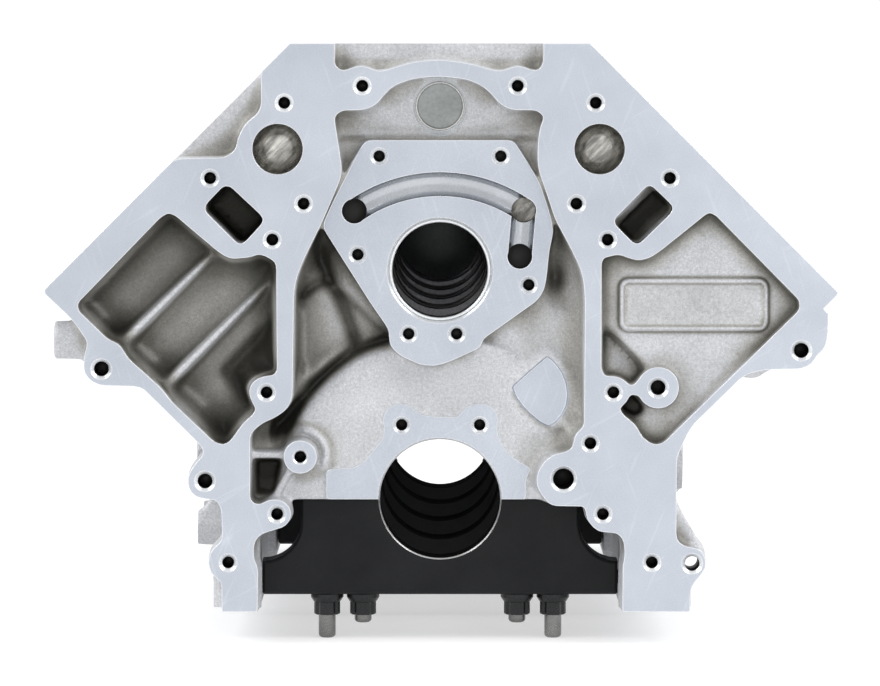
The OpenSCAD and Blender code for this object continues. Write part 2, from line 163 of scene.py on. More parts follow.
def rim(n, l, radius, start=0.985, full=0.86):
    """1 along the sharp edges of a piece, 0 elsewhere: where the painted edge highlight goes."""
    b = n.new("ShaderNodeBevel")
    b.samples = 6
    b.inputs["Radius"].default_value = radius
    g = n.new("ShaderNodeNewGeometry")
    d = n.new("ShaderNodeVectorMath")
    d.operation = "DOT_PRODUCT"
    l.new(b.outputs["Normal"], d.inputs[0])
    l.new(g.outputs["Normal"], d.inputs[1])
    return ramp(n, l, d.outputs["Value"], [(full, 1.0), (start, 0.0)]).outputs["Color"]


def scratches(n, l, angle, fine, width):
    """Thin long marks in the plane of x and z, at one angle."""
    t = noise(n, l, 1.0, 2.0, 0.5, stretch=(22, 22, fine), rot=(0, angle, 0))
    c = 0.66
    return ramp(n, l, t.outputs["Fac"], [(c, 0.0), (c + width, 1.0), (min(c + 3 * width, 0.99), 1.0)]).outputs["Color"]


def machined(name, low, high, r0, r1, marks=True, radius=0.0005, metal=0.78, edge_highlight=None, streaks=0.0):
    m, n, l, b = nt(name)
    cloud = noise(n, l, 16, 4, 0.6)
    grain = noise(n, l, 1400, 3, 0.6)
    base = ramp(n, l, cloud.outputs["Fac"], [(0.32, low), (0.68, high)]).outputs["Color"]
    g = ramp(n, l, grain.outputs["Fac"], [(0.3, 0.90), (0.7, 1.06)]).outputs["Color"]
    col = mix(n, l, base, g, 1.0, "MULTIPLY")
    if marks:
        for a, f, w in ((1.18, 380, 0.05), (-1.25, 430, 0.05), (0.5, 300, 0.05)):
            col = mix(n, l, col, (0.78, 0.81, 0.86), mix(n, l, (0, 0, 0), scratches(n, l, a, f, w), 0.11))
    if streaks:
        t = noise(n, l, 1.0, 3.0, 0.6, stretch=(60, 200, 330), rot=(0, streaks, 0))
        col = mix(n, l, col, ramp(n, l, t.outputs["Fac"], [(0.34, 0.48), (0.50, 0.95), (0.66, 1.55)]).outputs["Color"], 1.0, "MULTIPLY")
    # painted highlight: the sharp edges are painted near white, as if small chamfers caught the light
    if edge_highlight:
        col = mix(n, l, col, edge_highlight, rim(n, l, 0.0010))
    l.new(col, b.inputs["Base Color"])
    b.inputs["Metallic"].default_value = metal
    rr = noise(n, l, 55, 4, 0.65)
    l.new(ramp(n, l, rr.outputs["Fac"], [(0.3, r0), (0.7, r1)]).outputs["Color"], b.inputs["Roughness"])
    nm = edge(n, radius)
    brushed = noise(n, l, 1.0, 3, 0.6, stretch=(900, 900, 900))
    l.new(bump(n, l, brushed.outputs["Fac"], 0.10, 0.00006, nm), b.inputs["Normal"])
    return m


def cast(name, dark, light, amount=1.0):
    m, n, l, b = nt(name)
    cloud = noise(n, l, 22, 5, 0.62)
    grain = noise(n, l, 620, 5, 0.72)
    speck = noise(n, l, 1500, 2, 0.6)
    base = ramp(n, l, cloud.outputs["Fac"], [(0.30, dark), (0.70, light)]).outputs["Color"]
    g = ramp(n, l, grain.outputs["Fac"], [(0.34, 0.80), (0.66, 1.16)]).outputs["Color"]
    s = ramp(n, l, speck.outputs["Fac"], [(0.36, 0.86), (0.64, 1.10)]).outputs["Color"]
    col = mix(n, l, mix(n, l, base, g, 1.0, "MULTIPLY"), s, 1.0, "MULTIPLY")
    # painted shade in hollows, pockets and creases: the colour darkens, with an olive tint, as the hollow value rises
    cav = n.new("ShaderNodeAttribute")
    cav.attribute_name = "hollow"
    shade = ramp(n, l, cav.outputs["Fac"], [(0.52, (1.0, 1.0, 1.0)), (0.66, (0.62, 0.60, 0.545)), (0.82, (0.25, 0.240, 0.202)), (1.0, (0.060, 0.057, 0.046))]).outputs["Color"]
    col = mix(n, l, col, shade, 1.0, "MULTIPLY")
    l.new(col, b.inputs["Base Color"])
    b.inputs["Metallic"].default_value = 0.42
    l.new(ramp(n, l, grain.outputs["Fac"], [(0.3, 0.50), (0.7, 0.72)]).outputs["Color"], b.inputs["Roughness"])
    h = mix(n, l, grain.outputs["Fac"], speck.outputs["Fac"], 0.35)
    l.new(bump(n, l, h, 0.55 * amount, 0.00035, edge(n, 0.0007)), b.inputs["Normal"])
    return m


def steel(name, low, high, metal, r0, r1, fine=900, strength=0.2, radius=0.0004, spec=0.5):
    m, n, l, b = nt(name)
    cloud = noise(n, l, 30, 4, 0.6)
    grain = noise(n, l, fine, 3, 0.6)
    base = ramp(n, l, cloud.outputs["Fac"], [(0.3, low), (0.7, high)]).outputs["Color"]
    g = ramp(n, l, grain.outputs["Fac"], [(0.3, 0.86), (0.7, 1.12)]).outputs["Color"]
    l.new(mix(n, l, base, g, 1.0, "MULTIPLY"), b.inputs["Base Color"])
    b.inputs["Metallic"].default_value = metal
    b.inputs["Specular IOR Level"].default_value = spec
    l.new(ramp(n, l, grain.outputs["Fac"], [(0.3, r0), (0.7, r1)]).outputs["Color"], b.inputs["Roughness"])
    l.new(bump(n, l, grain.outputs["Fac"], strength, 0.00008, edge(n, radius)), b.inputs["Normal"])
    return m


def honed(name):
    m, n, l, b = nt(name)
    uv = n.new("ShaderNodeUVMap")
    uv.uv_map = "bore"
    hs = []
    for a in (0.5, -0.5):
        mp = n.new("ShaderNodeMapping")
        mp.inputs["Rotation"].default_value = (0, 0, a)
        l.new(uv.outputs["UV"], mp.inputs["Vector"])
        w = n.new("ShaderNodeTexWave")
        w.inputs["Scale"].default_value = 260
        w.inputs["Distortion"].default_value = 3.0
        w.inputs["Detail"].default_value = 3.0
        l.new(mp.outputs["Vector"], w.inputs["Vector"])
        hs.append(w.outputs["Fac"])
    h = mix(n, l, hs[0], hs[1], 0.5)
    cloud = noise(n, l, 25, 3, 0.6)
    base = ramp(n, l, cloud.outputs["Fac"], [(0.3, (0.30, 0.305, 0.31)), (0.7, (0.42, 0.425, 0.43))]).outputs["Color"]
    l.new(mix(n, l, base, ramp(n, l, h, [(0.2, 0.80), (0.8, 1.12)]).outputs["Color"], 1.0, "MULTIPLY"), b.inputs["Base Color"])
    b.inputs["Metallic"].default_value = 0.9
    l.new(ramp(n, l, h, [(0.2, 0.26), (0.8, 0.42)]).outputs["Color"], b.inputs["Roughness"])
    l.new(bump(n, l, h, 0.25, 0.00004), b.inputs["Normal"])
    return m


# the machined face carries a near-white painted highlight along its sharp edges
FACE = machined("machined_face", (0.455, 0.487, 0.545), (0.525, 0.558, 0.618), 0.30, 0.42, edge_highlight=(0.95, 0.97, 0.99))
BORED = machined("bored_alloy", (0.70, 0.72, 0.745), (0.88, 0.895, 0.91), 0.20, 0.30, marks=False, radius=0.0003, metal=0.95)
# painted shade: the deep walls of drilled holes are near black, for the shade inside them
DARKHOLE = machined("drilled_wall", (0.030, 0.030, 0.029), (0.060, 0.060, 0.057), 0.34, 0.5, marks=False, radius=0.0003, metal=0.6)
PORTWALL = machined("port_wall", (0.27, 0.263, 0.245), (0.42, 0.412, 0.386), 0.22, 0.34, marks=False, radius=0.0003, metal=0.9, streaks=0.78)
CAST = cast("sand_cast", (0.488, 0.495, 0.516), (0.625, 0.634, 0.657))
BLACK = steel("black_oxide_cap", (0.0075, 0.0080, 0.0088), (0.0125, 0.0130, 0.0140), 0.0, 0.36, 0.54, 700, 0.25, 0.0007, 0.14)
NUTS = steel("black_oxide_nut", (0.009, 0.010, 0.011), (0.019, 0.020, 0.021), 0.25, 0.20, 0.34, 900, 0.15, 0.0004, 0.35)
BRIGHT = steel("ground_steel", (0.50, 0.50, 0.49), (0.66, 0.66, 0.65), 1.0, 0.16, 0.26, 1200, 0.15, 0.0003)
# painted shade: the cam bearing shells are near black, for the shade inside the cam bore
SHELL = steel("bearing_metal", (0.055, 0.055, 0.054), (0.090, 0.090, 0.088), 0.9, 0.30, 0.42, 1100, 0.2, 0.0003)
STUD = steel("rolled_stud", (0.15, 0.15, 0.147), (0.24, 0.24, 0.235), 1.0, 0.20, 0.32, 1200, 0.15, 0.0003)
GROOVE = machined("milled_groove", (0.40, 0.42, 0.45), (0.54, 0.56, 0.59), 0.20, 0.32, marks=False, radius=0.0003, metal=0.95)
# painted shade: the cap bores are black with no sheen, so the main bore reads dark inside
CAPBORE = steel("cap_bore", (0.005, 0.005, 0.005), (0.010, 0.010, 0.010), 0.0, 0.80, 0.95, 700, 0.2, 0.0003, 0.0)
PLUG = steel("pressed_plug", (0.255, 0.272, 0.269), (0.345, 0.362, 0.357), 0.85, 0.30, 0.44, 500, 0.3, 0.0004)
IRON = steel("liner_iron", (0.34, 0.345, 0.35), (0.46, 0.465, 0.47), 0.9, 0.24, 0.36, 900, 0.25, 0.0003)
HONED = honed("honed_bore")


# ---------------------------------------------------------------- mesh helpers
def obj(name, verts, faces, mats, index=None, fix=True):
    me = bpy.data.meshes.new(name)
    me.from_pydata([tuple(map(float, v)) for v in verts], [], faces)
    for m in mats:
        me.materials.append(m)
    if index is not None:
        me.polygons.foreach_set("material_index", np.array(index, np.int32))
    if fix:
        b = bmesh.new()
        b.from_mesh(me)
        bmesh.ops.recalc_face_normals(b, faces=b.faces)
        b.to_mesh(me)
        b.free()
    o = bpy.data.objects.new(name, me)
    bpy.context.scene.collection.objects.link(o)
    return o


def prism_data(poly, y0, y1):
    n = len(poly)
    v = [(p[0], y0, p[1]) for p in poly] + [(p[0], y1, p[1]) for p in poly]
    f = [list(range(n)), list(range(2 * n - 1, n - 1, -1))]
    f += [[i, n + i, n + (i + 1) % n, (i + 1) % n] for i in range(n)]
    return v, f


def prism(poly, y0, y1, mat):
    v, f = prism_data(poly, y0, y1)
    return obj("cutter", v, f, [mat])


def cuboid(lo, hi, mat):
    v = [(x, y, z) for x in (lo[0], hi[0]) for y in (lo[1], hi[1]) for z in (lo[2], hi[2])]
    f = [[0, 1, 3, 2], [4, 6, 7, 5], [0, 4, 5, 1], [2, 3, 7, 6], [0, 2, 6, 4], [1, 5, 7, 3]]
    return obj("cutter", v, f, [mat])


def turned(profile, origin, axis, segs=40, closed_ring=False):
    """Verts and faces of a turned body: profile is a list of (distance along the axis, radius)."""
    a = np.array(axis, float)
    a /= np.linalg.norm(a)
    h = np.array((0, 0, 1.0)) if abs(a[2]) < 0.9 else np.array((1.0, 0, 0))
    e1 = np.cross(a, h)
    e1 /= np.linalg.norm(e1)
    e2 = np.cross(a, e1)
    o = np.array(origin, float)
    v, f = [], []
    ang = np.linspace(0, 2 * math.pi, segs, endpoint=False)
    rings = []
    for t, r in profile:
        if r < 1e-6:
            rings.append([len(v)])
            v.append(o + a * t)
        else:
            rings.append(list(range(len(v), len(v) + segs)))
            v += [o + a * t + r * (e1 * math.cos(g) + e2 * math.sin(g)) for g in ang]
    pairs = list(zip(rings, rings[1:]))
    if closed_ring:
        pairs.append((rings[-1], rings[0]))
    for p, q in pairs:
        for i in range(segs):
            j = (i + 1) % segs
            if len(p) == 1 and len(q) == 1:
                continue
            if len(p) == 1:
                f.append([p[0], q[i], q[j]])
            elif len(q) == 1:
                f.append([p[i], q[0], p[j]])
            else:
                f.append([p[i], q[i], q[j], p[j]])
    if not closed_ring:
        if len(rings[0]) > 1:
            f.append(list(reversed(rings[0])))
        if len(rings[-1]) > 1:
            f.append(list(rings[-1]))
    return v, f


def gather(parts):
    v, f = [], []
    for pv, pf, *_ in parts:
        k = len(v)
        v += list(pv)
        f += [[i + k for i in q] for q in pf]
    return v, f


def cutters(parts, mat):
    """One cutter out of many bodies; a third item in a body is the finish of each of its faces."""
    v, f = gather(parts)
    mats = [mat, DARKHOLE, PORTWALL] if any(len(q) > 2 for q in parts) else [mat]
    index = []
    for q in parts:
        index += q[2] if len(q) > 2 else [0] * len(q[1])
    return obj("cutter", v, f, mats, index)


def boolean(o, c, op="DIFFERENCE"):
    m = o.modifiers.new("b", "BOOLEAN")
    m.operation = op
    m.solver = "MANIFOLD"
    m.object = c
    m.material_mode = "TRANSFER"
    dg = bpy.context.evaluated_depsgraph_get()
    me = bpy.data.meshes.new_from_object(o.evaluated_get(dg))
    o.modifiers.clear()
    old = o.data
    o.data = me
    bpy.data.meshes.remove(old)
    cm = c.data
    bpy.data.objects.remove(c)
    bpy.data.meshes.remove(cm)
    if len(me.polygons) == 0:
        raise RuntimeError("a cut left nothing of " + o.name)


def shade(o, angle=34):
    """Smooth shading, with creases at sharp angles and wherever the finish changes."""
    me = o.data
    n = len(me.polygons)
    me.polygons.foreach_set("use_smooth", np.ones(n, bool))
    me.set_sharp_from_angle(angle=math.radians(angle))
    if len(me.materials) > 1:
        mi = np.zeros(n, np.int32)
        me.polygons.foreach_get("material_index", mi)
        tot = np.zeros(n, np.int32)
        me.polygons.foreach_get("loop_total", tot)
        le = np.zeros(len(me.loops), np.int32)
        me.loops.foreach_get("edge_index", le)
        lm = np.repeat(mi, tot)
        lo = np.full(len(me.edges), 9999, np.int32)
        hi = np.full(len(me.edges), -1, np.int32)
        np.minimum.at(lo, le, lm)
        np.maximum.at(hi, le, lm)
        at_ = me.attributes.get("sharp_edge") or me.attributes.new("sharp_edge", "BOOLEAN", "EDGE")
        s = np.zeros(len(me.edges), bool)
        at_.data.foreach_get("value", s)
        s |= lo != hi
        at_.data.foreach_set("value", s)
    me.update()


def settle(o, name, *nodes, slot=None, angle=34):
    """From working millimetres to the frame's metres, and onto its body."""
    me = o.data
    co = np.zeros(len(me.vertices) * 3)
    me.vertices.foreach_get("co", co)
    co = co.reshape(-1, 3)
    co[:, 1] -= 260
    me.vertices.foreach_set("co", (co / 1000).ravel())
    shade(o, angle)
    o.name = name
    me.name = name
    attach(o, "root")
    if nodes:
        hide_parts(*nodes)
    return o


# ---------------------------------------------------------------- distance fields
def rounded(p, r, n=4, keep=()):
    out = []
    P = [np.array(q, float) for q in p]
    for i in range(len(P)):
        a, b, c = P[i - 1], P[i], P[(i + 1) % len(P)]
        la, lc = np.linalg.norm(a - b), np.linalg.norm(c - b)
        k = 0 if i in keep else min(r, 0.48 * la, 0.48 * lc)
        if k < 0.05:
            out.append(b)
            continue
        p0, p1 = b + (a - b) / la * k, b + (c - b) / lc * k
        for t in np.linspace(0, 1, n):
            out.append((1 - t) ** 2 * p0 + 2 * t * (1 - t) * b + t * t * p1)
    return np.array(out)


def grown(p, d):
    """Outline moved out by d."""
    P = np.array(p, float)
    area = np.sum(P[:, 0] * np.roll(P[:, 1], -1) - np.roll(P[:, 0], -1) * P[:, 1])
    e = np.roll(P, -1, 0) - P
    n = np.stack([e[:, 1], -e[:, 0]], 1) / np.linalg.norm(e, axis=1)[:, None]
    if area < 0:
        n = -n
    m = n + np.roll(n, 1, 0)
    m /= np.maximum(np.sum(m * m, 1)[:, None] / 2, 0.3)
    return P + m * d


def poly2(P, X, Z):
    P = np.asarray(P, np.float32)
    d = np.full(X.shape, 1e9, np.float32)
    odd = np.zeros(X.shape, bool)
    for i in range(len(P)):
        ax, az = P[i]
        ex, ez = P[i - 1] - P[i]
        q = ex * ex + ez * ez
        if q < 1e-9:
            continue
        wx, wz = X - ax, Z - az
        t = np.clip((wx * ex + wz * ez) / q, 0, 1)
        d = np.minimum(d, (wx - ex * t) ** 2 + (wz - ez * t) ** 2)
        c1, c2, c3 = wz >= 0, Z < az + ez, ex * wz > ez * wx
        odd ^= (c1 & c2 & c3) | (~c1 & ~c2 & ~c3)
    d = np.sqrt(d)
    return np.where(odd, -d, d)


def smin(a, b, k):
    if k <= 0:
        return np.minimum(a, b)
    h = np.maximum(k - np.abs(a - b), 0) / k
    return np.minimum(a, b) - h * h * (k * 0.25)


def smax(a, b, k):
    return -smin(-a, -b, k)


def step(t):
    t = np.clip(t, 0, 1)
    return t * t * (3 - 2 * t)


def seg(X, Z, a, b):
    ex, ez = b[0] - a[0], b[1] - a[1]
    t = np.clip(((X - a[0]) * ex + (Z - a[1]) * ez) / (ex * ex + ez * ez), 0, 1)
    return np.hypot(X - a[0] - ex * t, Z - a[1] - ez * t)


def path(X, Z, pts):
    d = seg(X, Z, pts[0], pts[1])
    for a, b in zip(pts[1:], pts[2:]):
        d = np.minimum(d, seg(X, Z, a, b))
    return d


def bell(d, w):
    return np.exp(-0.5 * (d / w) ** 2)


class Field:
    def __init__(s, lo, hi, h):
        s.h, s.lo = h, np.array(lo, float)
        s.ax = [np.arange(lo[i], hi[i] + h * 0.5, h, dtype=np.float32) for i in range(3)]
        s.F = np.full([len(a) for a in s.ax], 1e3, np.float32)

    def sub(s, box, pad):
        sl = []
        for i in range(3):
            a = int(np.searchsorted(s.ax[i], box[0][i] - pad))
            b = int(np.searchsorted(s.ax[i], box[1][i] + pad))
            if a >= b:
                return None
            sl.append(slice(a, b))
        X, Y, Z = (s.ax[i][sl[i]] for i in range(3))
        return tuple(sl), X[:, None, None], Y[None, :, None], Z[None, None, :]

    def add(s, box, fn, k=3.0):
        r = s.sub(box, k + 3 * s.h)
        if r:
            s.F[r[0]] = smin(s.F[r[0]], fn(*r[1:]), k)

    def cut(s, box, fn, k=3.0):
        r = s.sub(box, k + 3 * s.h)
        if r:
            s.F[r[0]] = smax(s.F[r[0]], -fn(*r[1:]), k)

    def mesh(s, name, adapt):
        # closed at the rim of the grid
        F = np.clip(s.F, -3 * s.h, 3 * s.h)
        for i in range(3):
            F[tuple(slice(0, 1) if j == i else slice(None) for j in range(3))] = s.h
            F[tuple(slice(-1, None) if j == i else slice(None) for j in range(3))] = s.h
        g = openvdb.FloatGrid(3.0 * s.h)
        g.copyFromArray(F, ijk=(0, 0, 0), tolerance=0.0)
        g.gridClass = "level set"
        p, tr, q = g.convertToPolygons(isovalue=0.0, adaptivity=adapt)
        v = p * s.h + s.lo
        f = tr[:, ::-1].tolist() + q[:, ::-1].tolist()
        return obj(name, v, f, [CAST], fix=False)

    def hollow(s, radius):
        """How much metal lies round each place: about a half on a flat wall, more in a hollow."""
        m = (s.F < 0).astype(np.float32)
        k = max(1, int(round(radius / s.h)))
        for i in range(3):
            c = np.cumsum(m, axis=i)
            n = m.shape[i]
            a = np.clip(np.arange(n) + k, 0, n - 1)
            b = np.clip(np.arange(n) - k - 1, 0, n - 1)
            w = (a - b).astype(np.float32).reshape([-1 if j == i else 1 for j in range(3)])
            m = (np.take(c, a, i) - np.take(c, b, i)) / w
        return m

    def stamp(s, o, radius):
        """Writes the hollow value at each vertex, taken a little in front of the surface, with the painted shade and
        highlights of each region added.
        """
        m = s.hollow(radius)
        me = o.data
        co = np.zeros(len(me.vertices) * 3)
        me.vertices.foreach_get("co", co)
        q = (co.reshape(-1, 3) - s.lo) / s.h
        i = np.clip(np.round(q).astype(int), 0, np.array(m.shape) - 1)
        val = m[i[:, 0], i[:, 1], i[:, 2]] + painted_shade_and_highlight(*co.reshape(-1, 3).T)
        a = me.attributes.new("hollow", "FLOAT", "POINT")
        a.data.foreach_set("value", val.astype(np.float32))


def painted_shade_and_highlight(X, Y, Z):
    """Painted shade, and a few painted highlights, added to the hollow value by region: darkest in the deep left
    pocket, the water ports and the left side of the timing chest.
    """
    r = np.hypot(X, Z)
    w = np.zeros(X.shape)
    front = Y < 46
    # painted shade in the left pocket
    p = poly2(grown(POCKET_LEFT, 1.5), X, Z)
    inside = step((0.5 - p) / 2.0) * step((Y - 1.0) / 5.0) * front
    w += 0.20 * step((1.2 - p) / 1.5) * step((Y - 0.2) / 1.0) * step((10 - Y) / 8) * front
    w += inside * (0.16 + 0.05 * step((Z - 105) / 30) + 0.04 * step((84 - Z) / 26))
    v = path(X, Z, [at(276, 322, 30), at(252, 346, 30), at(229, 371, 30), at(243, 392, 30)])
    w += inside * 0.26 * np.maximum(bell(v, 3.6), step((3 - poly2(POCKET_DEEP, X, Z)) / 6)) * step((Y - 12) / 8)
    for q in (at(120, 328, 28), at(161.5, 372.5, 28), at(211.5, 426, 28)):
        w += inside * 0.14 * bell(np.hypot(X - q[0], Z - q[1]), 7.5)
    for a, b in (((-184.5, 90.3), (-127, 147)), ((-159.8, 65.3), (-88, 137))):
        w += inside * 0.13 * bell(seg(X, Z, a, b), 2.4) * step((24 - Y) / 6)
    # painted highlight along the foot of the lower left wall
    for a, b in (((90.3, 298.8), (105.5, 315.3)), ((140, 345.7), (155, 359.4)), ((185.3, 388.3), (203.3, 403.5))):
        w -= inside * 0.16 * bell(path(X, Z, [at(*a, 28), at(*b, 28)]), 1.5)
    # water ports: painted shade inside, lifted again on the walls that face the light
    for P in (PORT_LEFT, PORT_RIGHT):
        w += 0.62 * step((2.0 - poly2(grown(P, 1.5), X, Z)) / 2.0) * step((Y - 0.2) / 6.0) * front
    w -= 0.60 * step((2.0 - poly2(grown(PORT_LEFT, 1.5), X, Z)) / 2.0) * step((4.5 - (X + Z - 32.8) * C45) / 2.0) * step((36 - Y) / 22) * front
    inside = step((2.0 - poly2(grown(PORT_RIGHT, 1.5), X, Z)) / 2.0) * front
    w -= 0.78 * inside * step(((X - 117) - (Z - 166) + 4) / 22) * step((Y - 3) / 6)
    w -= 0.60 * inside * step((8.0 - (64 - Z + X) * C45) / 1.5) * step((21 - Y) / 3)
    # painted shade on the chest, left of the cam plate and under it, down to the disc
    chest = step((X + 91) / 3) * step((4 - X) / 46) * step((r - 96.5) / 4) * step((200 - Z) / 12) * step((Y - 9) / 4) * front
    w += 0.165 * chest
    w += 0.03 * step((X - 34) / 22) * step((90 - X) / 4) * step((r - 99.5) / 5) * step((200 - Z) / 10) * step((Y - 9) / 4) * front
    deep = step((Y - 12) / 6) * front
    v = path(X, Z, DISC_EDGE)
    w += (0.10 * bell(v, 2.9) + 0.03 * bell(v, 7)) * deep
    w += 0.20 * bell(np.hypot((X + 93) / 1.25, Z - 44), 7.5) * deep
    w += 0.17 * bell(r - 97.4, 1.7) * step((-18 - X) / 8) * step((Z - 34) / 8) * deep
    # less painted shade on the disc close under the cam plate
    w -= 0.15 * bell(path(X, Z, [(-20, 77), (-2, 71), (22, 78), (34, 92)]), 7.0) * deep
    # shadow line along the lower left of the small milled patch
    w += 0.17 * bell(path(X, Z, [at(515, 393, 18), at(521.5, 404.5, 18), at(531, 415, 18), at(541, 423, 18), at(549, 427.5, 18)]), 1.2) * deep
    w += (0.20 * bell(path(X, Z, FOLD), 2.3) + 0.12 * bell(path(X, Z, FOLD_LEFT), 2.4) + 0.07 * bell(path(X, Z, FOLD_RIGHT), 1.8)) * chest
    w += 0.16 * bell(np.hypot(X + 65, Z - 145), 9.5) * deep
    # painted highlights along two ridges in the recess
    w -= 0.08 * bell(path(X, Z, [at(304.6, 312, 28), at(305.2, 345, 28), at(306, 374, 28)]), 2.2) * deep
    w -= 0.10 * bell(path(X, Z, [at(343, 285, 28), at(362, 303, 28), at(378, 320, 28)]), 3.0) * deep
    w -= 0.14 * bell(np.hypot(X + 79, Z - 62), 4.0) * deep
    # painted shadow in the slot beside the small boss
    w += 0.22 * step((X + 108) / 2) * step((-90 - X) / 3) * step((Z - 1) / 3) * step((24.5 - Z) / 2) * step((Y - 12) / 6) * front
    # painted highlight on the collar and pip by the small boss, painted shade in the ring just outside the collar
    rb_ = np.hypot(X + 80.6, Z - 26)
    ab = np.degrees(np.arctan2(Z - 26, X + 80.6))
    w -= 0.12 * bell(rb_ - 14.4, 1.6) * step((ab + 40) / 30) * step((110 - ab) / 30) * deep
    w += 0.10 * bell(rb_ - 18.0, 1.6) * step((ab + 45) / 30) * step((120 - ab) / 30) * deep
    w -= 0.12 * bell(np.hypot(X + 68.2, Z - 21.4), 2.0) * deep
    # right pocket: less painted shade on the open floor; painted shade at the foot of the walls, along the panel's
    # edges and round the lower corner
    p = poly2(grown(POCKET_RIGHT, 1.0), X, Z)
    open_floor = step((-4.5 - p) / 3) * step((Y - 4) / 2) * (Y < 24)
    w -= 0.06 * open_floor
    w += 0.10 * bell(p + 2.6, 1.3) * step((Y - 4) / 2) * (Y < 24)
    q = panel(X, Z)
    w += (0.22 * bell(q - 0.9, 0.75) + 0.20 * bell(q + 2.6, 0.7) - 0.06 * bell(q + 0.8, 0.8)) * open_floor
    w += 0.045 * step((-3.2 - q) / 1.5) * open_floor
    c = poly2(HOLLOW_RIGHT, X, Z)
    w += (0.22 * bell(c - 0.5, 1.7) * step(((X - 93) + (Z - 72) - 4) / 16) - 0.10 * step((-4.0 - c) / 4)) * step((Y - 6) / 2) * (Y < 24)
    # soft shade over the cam plate is lighter
    w -= 0.06 * step((Z - 208) / 3) * step((60 - np.abs(X)) / 3) * front
    w -= 0.12 * step((Z - 176) / 8) * step((209 - Z) / 3) * step((np.abs(X) - 40) / 4) * step((62 - np.abs(X)) / 3) * front
    return w


def ext(d2, Y, y0, y1, k=0.0, draft=0.0):
    """A section in x and z carried from y0 to y1, its walls opening by draft as they go back."""
    return smax(d2 - draft * (Y - y0) if draft else d2, np.maximum(y0 - Y, Y - y1), k)


def sec(P, X, Z):
    """Distance to an outline on the open grid of a sub-box, as (nx, 1, nz)."""
    x2 = X[:, 0, :] + 0 * Z[0]
    z2 = Z[0] + 0 * X[:, 0, :]
    return poly2(P, x2, z2)[:, None, :]


# ---------------------------------------------------------------- outlines of the front face
FACE_LEFT = [(-60.5, 264), (-88.4, 264), (-101.5, 249.5), (-102.5, 246.5), (-102.5, 228), (-105, 223), (-110, 219.5), (-113, 215.5),
             (-116, 209.5), (-117, 204), (-119, 201.5), (-124, 198.5), (-152.2, 198), (-227.4, 122.8), (-227.4, 120.5), (-213, 107),
             (-208.5, 101.5), (-203, 93), (-203, 90), (-205, 84), (-205, 75), (-201, 70), (-195.5, 67.5), (-175.5, 67), (-171, 65.8),
             (-139, 34), (-136.5, 31), (-136.3, 27.5), (-142, 21), (-145.5, 14.5), (-145, 8), (-141.5, 3.5), (-135.5, 1.8), (-129, 1.5),
             (-126, -3.5), (-125.5, -21), (-127.5, -24), (-132, -28), (-134, -35), (-132, -41), (-129, -44), (-126, -46.5), (-126, -67)]
LEG_LEFT = [(-105.5, -67), (-105, -38), (-107.5, -33), (-107.5, -24), (-104.5, -19.5), (-101.5, -17.8), (-96, -16), (-89, -14),
            (-85.5, -8), (-87, -2), (-92, 1.6), (-98.5, 1.5), (-103, -1), (-107, -1), (-109.5, 2), (-109.5, 37.5), (-108, 41),
            (-103, 45.5), (-94, 49.5), (-88, 54), (-85, 60.5), (-84, 121.5), (-82.5, 129.5), (-78.5, 140), (-68.5, 160), (-60, 179.5),
            (-56, 190), (-57.5, 200.5), (-60.3, 219), (-60.3, 222.5), (-56.5, 225.7), (-43, 226), (-36.5, 229), (-32, 235),
            (-26.5, 240), (-15.5, 244), (0, 245.3)]
LEG_RIGHT = [(15.5, 243.5), (23, 240.5), (29, 236), (34, 229.5), (40.5, 226), (55, 225.8), (58.5, 223.5), (59.5, 221), (57.5, 216),
             (56.3, 208.5), (56, 194), (59, 184.5), (63, 173), (66, 163.5), (76, 145), (80.5, 135.5), (82.7, 127.5), (83.5, 115.5),
             (83, 43.5), (78, 39.5), (76, 31), (72, 29), (65, 27.5), (59, 22.5), (56, 16), (55.5, 10.5), (59, 3.5), (64, -2),
             (82.5, -2.3), (84, -4.5), (85, -10.5), (89.5, -15.5), (92.5, -17), (102, -17.8), (105, -20.5), (106.5, -25),
             (106.5, -32.5), (105.5, -36), (105.3, -67)]
FACE_RIGHT = [(144.2, -67), (144.5, -49), (151.5, -41), (154, -35.5), (151.5, -29), (149, -27), (141, -25.4), (137.5, -23),
              (136.2, -19.5), (136.4, 26), (138.6, 31), (142.5, 39.5), (146, 45), (175.5, 74), (187, 76.7), (208, 77), (214, 80),
              (216.5, 84.5), (221.5, 89), (223, 95.5), (223.5, 113), (228.8, 120), (228.8, 121.4), (86.2, 264), (59.5, 264),
              (59.2, 253), (57.3, 249.3), (53.7, 248.3), (45, 251.8), (34.5, 247.6), (17, 252.5), (0, 254.8), (-15.5, 253.5),
              (-27.5, 249.7), (-35, 247.7), (-45.3, 252), (-55, 248.3), (-58.3, 249.3), (-60.5, 252.2)]
POCKET_LEFT = [(-152, 165.5), (-126.5, 144), (-120.5, 140.5), (-109, 141.5), (-104, 143.5), (-98.5, 141.5), (-94, 138), (-93.7, 76),
               (-95.5, 73.5), (-107.5, 68.5), (-109.5, 64), (-106, 54.5), (-107, 51), (-112.5, 46.5), (-121, 35), (-125, 33),
               (-130.5, 35), (-155, 58.5), (-160, 65.5), (-180, 83.5), (-184, 91), (-191, 94), (-208, 110.5), (-208.5, 115),
               (-160.5, 164.5), (-156, 167)]
POCKET_RIGHT = [(154.0, 167.2), (158, 166), (206.8, 116.5), (206.8, 111), (129, 34.5), (124, 33), (117, 36.5), (112.5, 45),
                (105.5, 51), (105, 56.5), (109.5, 60.5), (113, 61), (117.6, 66), (118, 73), (114.2, 69.5), (109.3, 67.0), (102.5, 71.0), (94.5, 73.0), (92.7, 77),
                (92.7, 138), (94, 141), (102.5, 143.3), (108.5, 141), (114, 139.5), (120.5, 141), (127, 145.5)]
